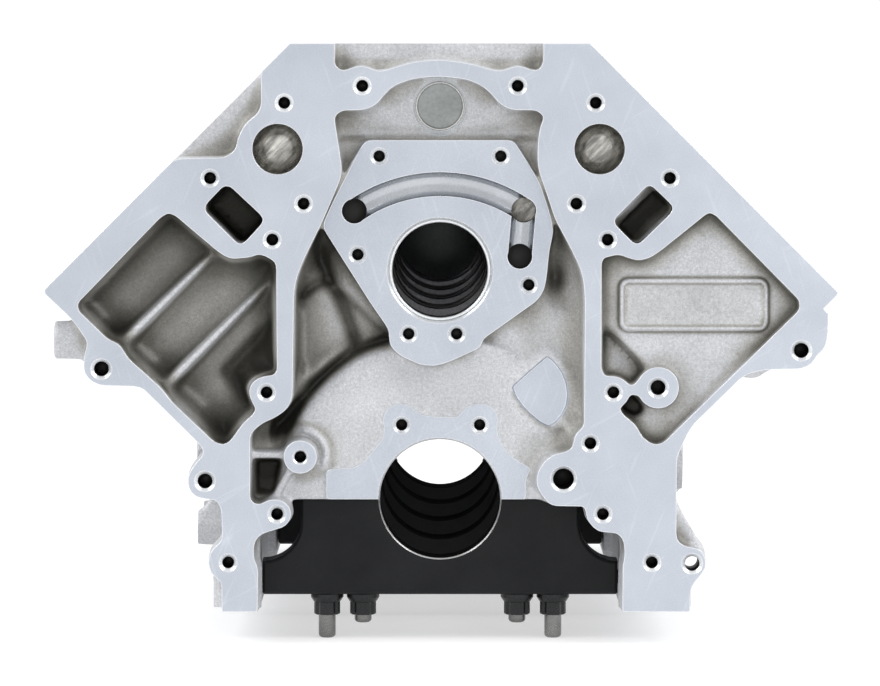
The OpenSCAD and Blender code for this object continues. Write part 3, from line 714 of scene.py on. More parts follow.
CAM_PLATE = [(-42.8, 208.4), (42.3, 208.4), (56.6, 186), (65, 174), (65.5, 160), (64.8, 153), (63, 145), (61.5, 130), (60, 122),
             (56, 116), (24.5, 93.5), (23.5, 89), (5, 80.5), (-3, 78.2), (-11, 78.8), (-23.5, 84.5), (-29.2, 90.5), (-29.2, 99),
             (-40, 114.5), (-64, 152.5), (-68, 159), (-68, 162.5), (-63, 174), (-52.5, 193.5)]
PORT_LEFT = [(-122.6, 184.2), (-100, 163), (-114.5, 147.3), (-136.7, 169.5)]
PORT_RIGHT = [(120, 184.3), (135.4, 169.3), (113.1, 147.4), (98.5, 162)]
M8_PAIRS = [(89.4, 230), (44.6, 239.7), (132.1, 186.8), (78.4, 172.1), (96.4, 151.4), (99.9, 63.4), (94, -7), (122.3, -35)]
M10_FRONT = [(-195, 77), (-135.5, 12.2), (208, 87.6), (125.6, 66.2), (145.5, -35.6)]
PLATE_BOLTS = [(-35, 199.2), (35, 199.2), (-47.4, 142.5), (51.2, 125), (-18.1, 96.7), (9.6, 96.7)]
SADDLE = [at(*p, 18) for p in [
    (326, 499.7), (326, 470), (355, 467.5), (365.5, 460.5), (371.5, 452.5), (379.5, 442.5), (383.5, 436.5), (384, 426.5), (382.5, 420.5),
    (384, 414.5), (387.5, 408.5), (393.5, 404.7), (401.5, 403.5), (409.5, 405.3), (415.5, 410.3), (421.5, 415), (438, 416.7), (457.5, 417.3),
    (461.5, 412.3), (467, 406.3), (476, 403.5), (486, 404), (493, 408.3), (497.5, 414.3), (498.3, 422.5), (497, 430.5), (500, 440.5),
    (506, 450.5), (516, 460.5), (526, 465.5), (531, 468.6), (526, 480), (526, 499.7)]]
CRESCENT = [at(*p, 19) for p in [
    (513.3, 386.8), (530, 371.5), (547.4, 356.8), (551.6, 360), (556, 364.6), (561.8, 372.9), (565.9, 384), (567.3, 394), (566, 404.5),
    (561.8, 413.7), (555.7, 421), (549, 425.4), (540.4, 421.2), (531.2, 413.7), (523.1, 404.9), (516.9, 396.3)]]
DISC_EDGE = [at(*p, 28) for p in [(386, 340), (368.3, 346), (351.4, 352.3), (334.5, 365.6), (320, 378.9), (306.8, 392), (293.6, 407.8), (281.5, 422), (269.5, 432)]]
FOLD = [at(*p, 31) for p in [(319, 237), (323.7, 263), (329.7, 281), (338, 294.5), (345.4, 311.4), (351.4, 328), (356, 343)]]
FOLD_LEFT = [at(*p, 31) for p in [(300.3, 295.7), (309.2, 288.5), (319, 282), (327.3, 279.6)]]
FOLD_RIGHT = [at(*p, 30) for p in [(338, 292), (356, 306.6), (375.5, 323.4), (386, 335)]]
HOLLOW_RIGHT = [at(*p, 8) for p in [(600.5, 336), (607, 331), (613, 334), (627, 347), (638, 359), (642.5, 367), (643, 376), (638, 384), (629, 388), (612, 380), (601, 377)]]
POCKET_DEEP = [at(*p, 30) for p in [(276, 318), (276, 374), (253, 380), (243, 390), (225, 371), (250, 343)]]


def bank_uv(s, X, Z):
    return (Z - s * X) * C45, (s * X + Z) * C45


def half_section(rail, over=3.0):
    """Right half of the section, with stock left on for machining."""
    d, t, p = DECK + over, TOP + over, PAN - over
    return [(0, t), (d / C45 - t, t), rb(-77, d), rb(-77, DECK - 15), rb(-71, DECK - 21), rb(-71, 96), (117, 15), (117, -38), (rail, -46), (rail, p), (0, p)]


FLANGE = [(-132, -67), (-132, -50), (-158, -45), (-165, -38), (-166, -20), (-166, 22), (-160, 52), (-148, 84), (-128, 112), (-100, 138),
          (-92, 160), (-84, 182), (-60, 196), (60, 196), (84, 182), (92, 160), (100, 138), (128, 112), (148, 84), (160, 52), (166, 22),
          (166, -20), (165, -38), (158, -45), (144.5, -50), (144.5, -67)]


def front_depth(X, Z):
    """Depth of the cast front surface behind the legs and under the bosses: soft valleys and ridges of the pattern."""
    r = np.hypot(X, Z)
    chest = step((100 - np.abs(X)) / 4) * step((Z + 12) / 6) * step((226 - Z) / 6)
    d = np.full(np.broadcast(X, Z).shape, 24.0, np.float32)
    # right side of the chest lies higher than the left
    right = step((X - 26) / 18) * step((196 - Z) / 20)
    d -= 4.0 * right * chest
    # three-cornered recess left of the cam plate, with its valleys
    tri = poly2(rounded([(-90, 62), (-86, 128), (-70, 152), (-46, 118), (-30, 97), (-40, 88), (-60, 84)], 6), X, Z)
    rec = step((3 - tri) / 12)
    d += 7.0 * rec
    d += rec * (5.0 * bell(path(X, Z, FOLD), 3.0) + 3.4 * bell(path(X, Z, FOLD_LEFT), 2.2) + 1.6 * bell(path(X, Z, FOLD_RIGHT), 1.8))
    d -= rec * 1.8 * bell(path(X, Z, [at(343, 285, 28), at(362, 303, 28), at(378, 320, 28)]), 3.0)
    d -= 1.5 * bell(path(X, Z, [at(304.6, 312, 28), at(305.2, 345, 28), at(306, 374, 28)]), 1.3) * chest
    # higher corners beside the top of the cam plate
    side = step((np.abs(X) - 41) / 4) * step((Z - 176) / 10) * step((64 - np.abs(X)) / 3)
    d = d * (1 - side) + np.minimum(d, 15.5) * side
    # disc round the crankshaft and the valley that runs round its upper left
    disc = step((97.5 - r) / 4)
    low = step((118 - Z) / 10)
    d = np.where(low > 0, d * (1 - disc * low) + 18.0 * disc * low, d)
    ang = np.degrees(np.arctan2(Z, X))
    v = path(X, Z, DISC_EDGE)
    d += (6.0 * bell(v, 2.6) + 3.0 * bell(v, 5.5)) * chest
    d += 4.0 * bell(np.hypot(X + 93, Z - 44), 7.0) * chest
    # dark hollow beside the plate on the right, and a fine ridge under it
    d += 8.5 * bell(np.hypot((X - 67.5) / 0.7, (Z - 128.5) / 1.15), 5.2) * chest
    d += 3.0 * bell(path(X, Z, [at(549, 262, 22), at(553, 285, 22), at(560, 300, 22)]), 4.0)
    d -= 2.6 * bell(path(X, Z, [at(512, 316, 18), at(504, 329, 18), at(494, 340, 18), at(486, 347, 18)]), 4.0)
    d -= 1.5 * bell(path(X, Z, [at(571, 372, 18), at(577, 402, 18), at(579, 424, 18)]), 1.6) + 1.6 * bell(path(X, Z, [at(564, 420, 18), at(570, 433, 18), at(573, 447, 18)]), 2.2)
    # soft valley wrapped round the milled patch, and the shoulder below it
    wrap = path(X, Z, [at(509, 382, 18), at(513, 395, 18), at(521, 407, 18), at(535, 420, 18), at(549, 428, 18), at(561, 431, 18)])
    d += 2.1 * bell(wrap, 2.0)
    # ledge over the cam plate
    upper = step((Z - 203) / 3) * step((62 - np.abs(X)) / 3)
    d = d * (1 - upper) + (16.0 - 1.0 * bell(Z - 212.2, 1.6) + 1.0 * bell(Z - 209, 1.2) + 1.2 * step((52 - np.abs(X)) / 10) * bell(Z - 229, 9)) * upper
    # slot beside the small boss on the left, collar and pip round the boss
    d += 8.0 * step((1.5 - poly2(rounded([(-107, 4), (-107, 22.5), (-92, 22.5), (-96, 2)], 3), X, Z)) / 3.5)
    rb_ = np.hypot(X + 80.6, Z - 26)
    ab = np.degrees(np.arctan2(Z - 26, X + 80.6))
    d -= 3.6 * bell(rb_ - 14.4, 1.5) * step((ab + 40) / 30) * step((110 - ab) / 30)
    d -= 2.6 * bell(np.hypot(X + 68.2, Z - 21.4), 1.7)
    # stock under the small milled patch, which lies a little lower than the metal round it
    cr = poly2(CRESCENT, X, Z)
    d = np.where(cr < 8, np.minimum(d, 17.2) * step((8 - cr) / 6) + d * (1 - step((8 - cr) / 6)), d)
    d = np.minimum(d, 37.5)
    # stock under the milled pads over the main bore
    sad = poly2(rounded(SADDLE, 1.5), X, Z)
    d = np.where(sad < 4, d - 1.5 * step((2.2 - sad) / 3.0) * step((Z + 3) / 3), d)
    return d


def panel(X, Z):
    """Distance to the outline of the bare raised panel."""
    return np.hypot(np.maximum(np.abs(X - 146.3) - 37.6, 0), np.maximum(np.abs(Z - 113.6) - 9.8, 0)) + np.minimum(np.maximum(np.abs(X - 146.3) - 37.6, np.abs(Z - 113.6) - 9.8), 0) - 5.0


def right_pocket_depth(X, Z):
    d = np.full(np.broadcast(X, Z).shape, 8.0, np.float32)
    d += 2.6 * step((X - 178) / 24)
    d += 0.8 * step((62 - Z) / 30)
    # soft ledge above the panel
    d -= 0.55 * bell(Z - 130.6, 1.6) * step((X - 112) / 20) * step((204 - X) / 16)
    d += 0.5 * step((Z - 132) / 10) * step((X - 110) / 14)
    # deeper corner at the lower left, steep along its slanting side
    c = poly2(rounded(HOLLOW_RIGHT, 2.0), X, Z)
    fall = step((1.2 - c) / 4.2)
    slope = step(((X - 93) + (Z - 72) + 4) / 34)
    d += fall * (3.4 + 4.6 * slope)
    # bare raised panel with a rim
    q = panel(X, Z)
    d -= 2.3 * step((0.9 - q) / 1.2)
    d += 1.7 * step((-1.9 - q) / 1.1)
    d += 0.7 * bell(q - 1.7, 0.8)
    return d


def casting(f):
    """Fills a field with the whole cast shape, as far as the field's grid reaches."""
    x, y, z = f.ax
    X2, Z2 = x[:, None] + 0 * z[None, :], z[None, :] + 0 * x[:, None]
    dep = front_depth(X2, Z2) if y[0] < 45 else np.full(X2.shape, 24.0, np.float32)
    full = poly2(half_section(144.5) + flip(half_section(132)), X2, Z2)
    Y = y[None, :, None]
    body = smax(full[:, None, :], np.maximum(dep[:, None, :] - Y, Y - 496), 3.0)
    f.F = np.minimum(f.F, body).astype(np.float32)

    def pads(X, Y, Z):
        # bosses on the insides of the skirts, beside caps 2 to 5
        near = np.abs((Y - ym(1)) - PITCH * np.clip(np.round((Y - ym(1)) / PITCH), 0, 3))
        return smax(smax(98 - np.abs(X), near - 11.5, 3.0), np.maximum(-44 - Z, 20 - Y), 2.0)
    f.cut(((-106, -10, -70), (106, 505, 1)), lambda X, Y, Z: np.maximum(np.maximum(np.abs(X) - 104.5, np.maximum(Z, Y - 504)), -pads(X, Y, Z)), 0)

    # ribs, bosses and gussets on the flanks
    for s in (-1, 1):
        rail = 132 if s < 0 else 144.5
        for i in range(4):
            yc = yb(s, i)
            f.add(((-240, yc - 80, 60), (240, yc + 80, 260)), lambda X, Y, Z: np.maximum(np.maximum(
                np.hypot(bank_uv(s, X, Z)[0], Y - yc) - 73.6, np.maximum(108 - bank_uv(s, X, Z)[1], bank_uv(s, X, Z)[1] - 224)), bank_uv(s, X, Z)[0] + 40), 5.0)
        for yc in (170, 238):
            for zc, rr in ((4, 12.2), (-32, 10.2)):
                xa, xb = (112, 150) if s > 0 else (-150, -112)
                f.add(((xa, yc - 14, zc - 14), (xb, yc + 14, zc + 14)), lambda X, Y, Z: smax(
                    np.hypot(Y - yc, Z - zc) - rr - 0.03 * (149 - s * X), np.maximum(xa - X, X - xb), 1.0), 5.0)
        for zc in (4, -32):
            xa, xb = (110, 132) if s > 0 else (-132, -110)
            f.add(((xa, 165, zc - 8), (xb, 243, zc + 8)), lambda X, Y, Z: smax(smax(
                np.abs(Z - zc) - 4, np.maximum(xa - X, X - xb), 2.0), np.maximum(170 - Y, Y - 238), 1.0), 4.0)
        P = [(112, 4), (136, -8), (147, -22), (147, -32), (112, -34)]
        P = P if s > 0 else flip(P)
        f.add(((-150, 164, -40), (150, 176, 8)), lambda X, Y, Z: smax(sec(rounded(P, 3), X, Z), np.abs(Y - 170) - 4, 2.0), 4.0)
        for i in range(1, 5):
            P = [(114, 20), (120, 16), (rail - 1, -44), (rail - 1, -52), (108, -52), (108, 20)]
            P = P if s > 0 else flip(P)
            yc = ym(i) - 16
            f.add(((-150, yc - 6, -60), (150, yc + 6, 30)), lambda X, Y, Z: smax(sec(rounded(P, 3), X, Z), np.abs(Y - yc) - 4, 2.0), 4.0)
        for i in range(1, 4):
            yc = ym(i) - s * 2
            f.add(((-240, yc - 8, 0), (240, yc + 8, 262)), lambda X, Y, Z: smax(smax(
                np.abs(Y - yc) - 3.2, np.maximum(-75.2 - bank_uv(s, X, Z)[0], bank_uv(s, X, Z)[0] + 60), 1.5),
                np.maximum(112 - bank_uv(s, X, Z)[1], bank_uv(s, X, Z)[1] - 230), 3.0), 4.0)
    for i in range(5):
        for s in (-1, 1):
            xo, zc = bolt_at(i)
            xa, xb = (106, xo + 2) if s > 0 else (-xo - 2, -106)
            f.add(((xa, ym(i) - 13, zc - 13), (xb, ym(i) + 13, zc + 13)), lambda X, Y, Z: smax(
                np.hypot(Y - ym(i), Z - zc) - 11.6, np.maximum(xa - X, X - xb), 1.0), 4.0)
    f.add(((-228, 17, 78), (-180, 43, 106)), lambda X, Y, Z: smax(np.hypot(Y - 30, Z - 92) - 11 - 0.02 * (X + 224), np.maximum(-224 - X, X + 170), 1.5), 5.0)
    if y[0] < 45:
        f.add(((170, 8, 66), (194, 28, 84)), lambda X, Y, Z: smax(sec(rounded([(173, 82), (190, 82), (188.5, 75.5), (184, 71.5), (178.5, 70.8), (175, 73.5)], 1.5), X, Z), np.maximum(10 - Y, Y - 26), 1.5), 2.0)
        f.add(((126, 6, -38), (156, 28, 0)), lambda X, Y, Z: smax(sec(rounded([(126, -1), (136.5, -3), (139, -5), (152.5, -28), (150, -36), (126, -36)], 2), X, Z), np.maximum(8 - Y, Y - 26), 2.0), 3.0)
    f.add(((-154, 468, -46), (-112, 502, 20)), lambda X, Y, Z: smax(sec(rounded([(-112, 16), (-118, 16), (-148, -4), (-150, -40), (-112, -44)], 3), X, Z), np.maximum(470 - Y, Y - 500), 2.0), 4.0)

    # left bank runs on to the rear, and the bellhousing flange
    if y[-1] > 480:
        left = flip(half_section(132))
        f.add(((-240, 480, -70), (0.5, 524, 270)), lambda X, Y, Z: np.maximum(sec(left, X, Z), np.maximum(470 - Y, Y - 522)), 0)
        f.add(((-170, 494, -70), (170, 524, 200)), lambda X, Y, Z: smax(sec(rounded(FLANGE, 4), X, Z), np.maximum(496 - Y, Y - 522), 1.5), 5.0)
        for s in (-1, 1):
            P = [(123, -36), (158, -36), (160, 20), (150, 62), (128, 40), (123, 14)]
            P = P if s > 0 else flip(P)
            f.cut(((-165, 490, -40), (165, 507, 66)), lambda X, Y, Z: smax(sec(rounded(P, 4), X, Z), np.maximum(480 - Y, Y - 506), 4.0), 2.0)

    # front plate with the arch, and everything that stands in the timing chest
    if y[0] < 45:
        front = FACE_LEFT + LEG_LEFT + LEG_RIGHT + FACE_RIGHT
        p2 = poly2(rounded(front, 5.0, 5), X2, Z2)
        u, v = bank_uv(1, X2, Z2)
        over = np.maximum(np.maximum(240 - v, v - 251), np.maximum(-75.9 - u, u - 140))
        over = np.minimum(over, np.maximum(np.maximum(250.5 - Z2, Z2 - 268), np.maximum(59.4 - X2, X2 - 100)))
        over = np.minimum(over, np.maximum(np.maximum(254 - Z2, Z2 - 268), np.abs(X2 + 74.4) - 14.0))
        u, v = bank_uv(-1, X2, Z2)
        over = np.minimum(over, np.maximum(np.maximum(240 - v, v - 251), np.maximum(-73.6 - u, u - 30.5)))
        p2 = np.minimum(p2, over)
        n = int(np.searchsorted(y, 34))
        P3 = smax(p2[:, None, :] - 0.045 * np.maximum(Y[:, :n], 0), np.maximum(-3 - Y[:, :n], Y[:, :n] - 27), 0.0)
        F = f.F[:, :n]
        # wide soft fillets inside the chest, small ones outside
        inside = (step((88 - np.abs(X2)) / 8) * step((Z2 - 2) / 10) * step((232 - Z2) / 6))[:, None, :]
        F = smin(F, P3, 4.5) * (1 - inside) + smin(F, P3, 11.0) * inside
        f.F[:, :n] = F
        f.add(((-72, 3, 74), (70, 30, 212)), lambda X, Y, Z: smax(sec(rounded(CAM_PLATE, 3), X, Z) - 0.03 * (Y - 8), np.maximum(4 - Y, Y - 28), 0), 4.0)
        f.add(((-93, -4, 13), (-68, 28, 39)), lambda X, Y, Z: np.maximum(np.hypot(X + 80.6, Z - 26) - 9.5 - 0.05 * np.maximum(Y - 2, 0), -1 - Y), 4.0)
        f.add(((-112, 8, 22), (-84, 28, 31)), lambda X, Y, Z: smax(np.abs(Z - 26.5) - 1.9 - 0.04 * (Y - 10), np.maximum(10 - Y, X + 84), 1.5), 3.0)
        f.add(((-103, 8, -6), (-80, 28, 22)), lambda X, Y, Z: smax(seg(X[:, 0, :] + 0 * Z[0], Z[0] + 0 * X[:, 0, :], (-85.5, 20), (-98.5, -4))[:, None, :] - 1.8 - 0.05 * (Y - 10), 10 - Y, 1.5), 3.0)

        # left pocket: deep, with ribs standing in it
        r = f.sub(((-214, -4, 28), (-88, 36, 172)), 4)
        if r:
            sl, X, Y_, Z = r
            P = sec(rounded(POCKET_LEFT, 6.5, 5), X, Z)
            Xs, Zs = X[:, 0, :] + 0 * Z[0], Z[0] + 0 * X[:, 0, :]
            fl = np.full(Xs.shape, 31.0, np.float32)
            fl += 4.8 * bell(path(Xs, Zs, [at(276, 324, 20), at(250, 348, 20), at(227, 373, 20), at(250, 397, 20)]), 3.6)
            fl -= 1.4 * bell(path(Xs, Zs, [(-190, 108), (-150, 148)]), 9)
            fl -= 1.4 * bell(path(Xs, Zs, [(-164, 82), (-108, 134)]), 9)
            hole = smax(P + 0.17 * np.maximum(Y_, 0), Y_ - fl[:, None, :], 10.0)
            for a, b, t0, t1, w0, w1 in (((-184.5, 90.3), (-127, 147), 7.0, 20.0, 1.8, 1.1), ((-159.8, 65.3), (-88, 137), 8.0, 24.0, 1.8, 0.9)):
                along = np.clip(((Xs - a[0]) * (b[0] - a[0]) + (Zs - a[1]) * (b[1] - a[1])) / ((b[0] - a[0]) ** 2 + (b[1] - a[1]) ** 2), 0, 1)
                t = (t0 + (t1 - t0) * along ** 1.4)[:, None, :]
                w = (w0 + (w1 - w0) * along)[:, None, :]
                rib = seg(Xs, Zs, a, b)[:, None, :] - w - 0.13 * np.maximum(Y_ - t, 0)
                hole = smax(hole, -smax(rib, t - Y_, 2.2), 4.5)
            boss = np.hypot(X + 99.9, Z - 63.4) - 9.0 - 0.06 * np.maximum(Y_, 0)
            hole = smax(hole, -boss, 3.0)
            f.F[sl] = np.maximum(f.F[sl], -hole)
        # right pocket: shallow, with the panel and two bosses
        r = f.sub(((88, -4, 28), (212, 28, 172)), 4)
        if r:
            sl, X, Y_, Z = r
            P = sec(rounded(POCKET_RIGHT, 5.0, 5), X, Z)
            Xs, Zs = X[:, 0, :] + 0 * Z[0], Z[0] + 0 * X[:, 0, :]
            fl = right_pocket_depth(Xs, Zs)
            hole = smax(P + 0.12 * np.maximum(Y_, 0), Y_ - fl[:, None, :], 2.4)
            slot = seg(Xs, Zs, (109.0, 56.6), (112.4, 54.4))[:, None, :] - 5.4 + 0.04 * Y_
            hole = smin(hole, smax(slot, Y_ - 22, 3.0), 4.0)
            hole = smax(hole, -(np.hypot(X - 125.6, Z - 66.2) - 11.8 - 0.10 * np.maximum(Y_, 0)), 2.5)
            hole = smax(hole, -(np.hypot(X - 99.9, Z - 63.4) - 9.0 - 0.05 * np.maximum(Y_, 0)), 2.5)
            f.F[sl] = np.maximum(f.F[sl], -hole)
    # water ports
    f.cut(((-142, -4, 140), (-94, 54, 190)), lambda X, Y, Z: smax(sec(rounded(PORT_LEFT, 5.0, 6), X, Z) + 0.035 * np.maximum(Y, 0), Y - 52, 5.0), 0)
    f.cut(((92, -4, 140), (142, 34, 190)), lambda X, Y, Z: smax(smax(sec(rounded(PORT_RIGHT, 5.0, 6), X, Z) + 0.06 * np.maximum(Y, 0), (Z - X - 64) * C45 + 0.30 * np.clip(Y, 0, 20), 1.0), Y - 28 + 0.3 * ((X - 117) - (Z - 166)) * 0.7, 5.0), 0)

    # crankcase
    for i in range(4):
        y0, y1 = ym(i) + 12.5, ym(i + 1) - 12.5
        yc, hl = (y0 + y1) / 2, (y1 - y0) / 2

        def bay(X, Y, Z):
            c = np.hypot(X, Z) - 104
            t = np.hypot(X, Z - CAMZ) - 38
            s = np.maximum(np.abs(X) - 27, np.maximum(60 - Z, Z - 125))
            return smax(smin(c, smin(t, s, 10.0), 14.0), np.abs(Y - yc) - hl, 11.0)
        f.cut(((-106, y0, -70), (106, y1, 176)), bay, 2.0)
    f.cut(((-106, 22, -70), (106, 505, 1)), lambda X, Y, Z: np.maximum(np.maximum(np.abs(X) - 104.5, np.maximum(np.maximum(23.5 - Y, Y - 504), Z)), -pads(X, Y, Z)), 1.5)
    for i in range(1, 4):
        for xc in (-76, 76):
            f.cut(((xc - 14, ym(i) - 22, 38), (xc + 14, ym(i) + 22, 66)), lambda X, Y, Z: np.maximum(np.hypot(X - xc, Z - 52) - 12, np.abs(Y - ym(i)) - 22), 5.0)
    # valley trough and lifter windows
    f.cut(((-60, 50, 190), (60, 470, 272)), lambda X, Y, Z: smax(sec(rounded([(-58, 290), (-58, 232), (-20, 195), (20, 195), (58, 232), (58, 290)], 6), X, Z), np.maximum(50 - Y, Y - 470), 9.0), 3.0)
    for s in (-1, 1):
        for i in range(4):
            yc = yb(s, i)
            f.cut(((-120, yc - 36, 60), (120, yc + 36, 270)), lambda X, Y, Z: smax(smax(
                np.abs(bank_uv(s, X, Z)[0] - 95) - 17, np.abs(Y - yc) - 34, 8.0), 158 - bank_uv(s, X, Z)[1], 6.0) + 0 * X, 3.0)
            # lifter guides standing in the window floor
        for i in range(4):
            for dd in (-18, 18):
                yc = yb(s, i) + dd
                f.add(((-120, yc - 18, 60), (120, yc + 18, 230)), lambda X, Y, Z: smax(
                    np.hypot(bank_uv(s, X, Z)[0] - 94.4, Y - yc) - 14.5, np.maximum(140 - bank_uv(s, X, Z)[1], bank_uv(s, X, Z)[1] - 162.5), 1.0), 2.5)


# ---------------------------------------------------------------- machining
def drill(x, y, z, depth, r, c, axis=(0, 1, 0), thread=True, tip=True, segs=28, lead=1.2):
    """A hole with a countersink of radius c, thread rings and a drill point."""
    pr = [(-lead, c + lead), (0, c), (c - r, r)]
    if thread:
        p = 1.25 if r > 3 else 0.9
        t = c - r + 0.3
        for k in range(8):
            if t + p > depth - 1:
                break
            pr += [(t, r), (t + p * 0.5, r + 0.42)]
            t += p
        pr.append((t, r))
    pr.append((depth, r))
    pr.append((depth + (r * 0.58 if tip else 0), 0))
    v, f = turned(pr, (x, y, z), axis, segs)
    # the countersink and the first thread are bright, the rest lies in the dark
    return v, f, [0 if k // segs < 3 or k >= (len(pr) - 1) * segs else 1 for k in range(len(f))]


def bank_axis(s):
    return np.array((s * C45, 0, C45))


def bank_pt(s, u, y, v):
    x, z = rb(u, v)
    return (s * x, y, z)


def arc2(cx, cz, r, a0, a1, n):
    return [(cx + r * math.cos(math.radians(a)), cz + r * math.sin(math.radians(a))) for a in np.linspace(a0, a1, n)]


def tube(pts, y, r, segs=20):
    """Round bar lying along a path in the plane at depth y."""
    v, f = [], []
    n = len(pts)
    for i, p in enumerate(pts):
        a, b = pts[max(i - 1, 0)], pts[min(i + 1, n - 1)]
        t = np.array((b[0] - a[0], 0, b[1] - a[1]), float)
        t /= np.linalg.norm(t)
        e = np.array((t[2], 0, -t[0]))
        for g in np.linspace(0, 2 * math.pi, segs, endpoint=False):
            v.append(np.array((p[0], y, p[1])) + r * (math.cos(g) * e + math.sin(g) * np.array((0, 1.0, 0))))
    for i in range(n - 1):
        for k in range(segs):
            m = (k + 1) % segs
            f.append([i * segs + k, (i + 1) * segs + k, (i + 1) * segs + m, i * segs + m])
    f.append(list(range(segs - 1, -1, -1)))
    f.append([(n - 1) * segs + k for k in range(segs)])
    return v, f


def common_cuts(o, y0, y1):
    """Planes, decks, bores and bolt holes that reach both halves of the casting."""
    boolean(o, cuboid((-150, -30, TOP), (150, 620, TOP + 40), FACE))
    boolean(o, cuboid((-300, -30, PAN - 40), (300, 620, PAN), FACE))
    for s in (-1, 1):
        P = [rb(-110, DECK), rb(135, DECK), rb(135, DECK + 60), rb(-110, DECK + 60)]
        boolean(o, prism(P if s > 0 else flip(P), -30, 620, FACE))
        P = [rb(-76.99, 235), rb(-76.99, DECK + 20), rb(-95, DECK + 20), rb(-95, 235)]
        boolean(o, prism(P if s > 0 else flip(P), -30, 620, CAST))
    # main bore and cam bore
    boolean(o, cutters([turned([(5, 34.935), (600, 34.935)], (0, 0, 0), (0, 1, 0), 96)], BORED))
    boolean(o, cutters([turned([(0, 29.4), (600, 29.4)], (0, 0, CAMZ), (0, 1, 0), 80)], BORED))
    small, seats = [], []
    for s in (-1, 1):
        a = bank_axis(s)
        for i in range(4):
            if yb(s, i) + 56 > y0 and yb(s, i) - 56 < y1:
                seats.append(turned([(92, 54.9), (DECK + 4, 54.9)], bank_pt(s, 0, yb(s, i), 0), a, 96))
            for dd in (-18, 18):
                small.append(drill(*bank_pt(s, CAMZ * C45, yb(s, i) + dd, 162.5), 48, 10.7, 11.4, -a, thread=False, tip=False, segs=36))
            for ang in (55, 125, 235, 305):
                g = math.radians(ang)
                small.append(drill(*bank_pt(s, 63 * math.sin(g), yb(s, i) + 63 * math.cos(g), DECK), 18, 3.6, 3.9, -a, thread=False, segs=20))
        for i in range(-1, 4):
            y = yb(s, i) + PITCH / 2
            for u in (-1, 1):
                small.append(drill(*bank_pt(s, u * PITCH / 2, y, DECK), 60, 4.9, 6.2, -a, segs=24))
            small.append(drill(*bank_pt(s, 95, y, DECK), 24, 3.4, 4.4, -a, segs=20))
        for y in (yb(s, 0) - 40, yb(s, 3) + 40):
            small.append(drill(*bank_pt(s, -66, y, DECK), 11, 6, 6.8, -a, thread=False, tip=False))
        for i in range(5):
            small.append(drill(s * 72, 36 + i * 112, TOP, 17, 3.4, 4.4, (0, 0, -1), segs=20))
            xo, zc = bolt_at(i)
            small.append(turned([(0, 10.5), (40, 10.5)], (s * xo, ym(i), zc), (s, 0, 0), 40))
        for y in (56, 128, 216, 304, 392, 464):
            small.append(drill(s * 118, y, PAN, 19, 3.4, 4.4, (0, 0, 1), segs=20))
        for y in (170, 238):
            for z in (4, -32):
                small.append(drill(s * 148, y, z, 16, 4.25, 5.4, (-s, 0, 0), segs=24))
    small.append(drill(-224, 30, 92, 20, 4.25, 5.4, (1, 0, 0), segs=24))
    # only what touches this half
    keep = []
    for q in small:
        ys = [p[1] for p in q[0]]
        if max(ys) > y0 and min(ys) < y1:
            keep.append(q)
    # neighbouring liner seats overlap nothing; each is cut in a pass of its own
    for c in seats:
        boolean(o, cutters([c], BORED))
    boolean(o, cutters(keep, BORED))


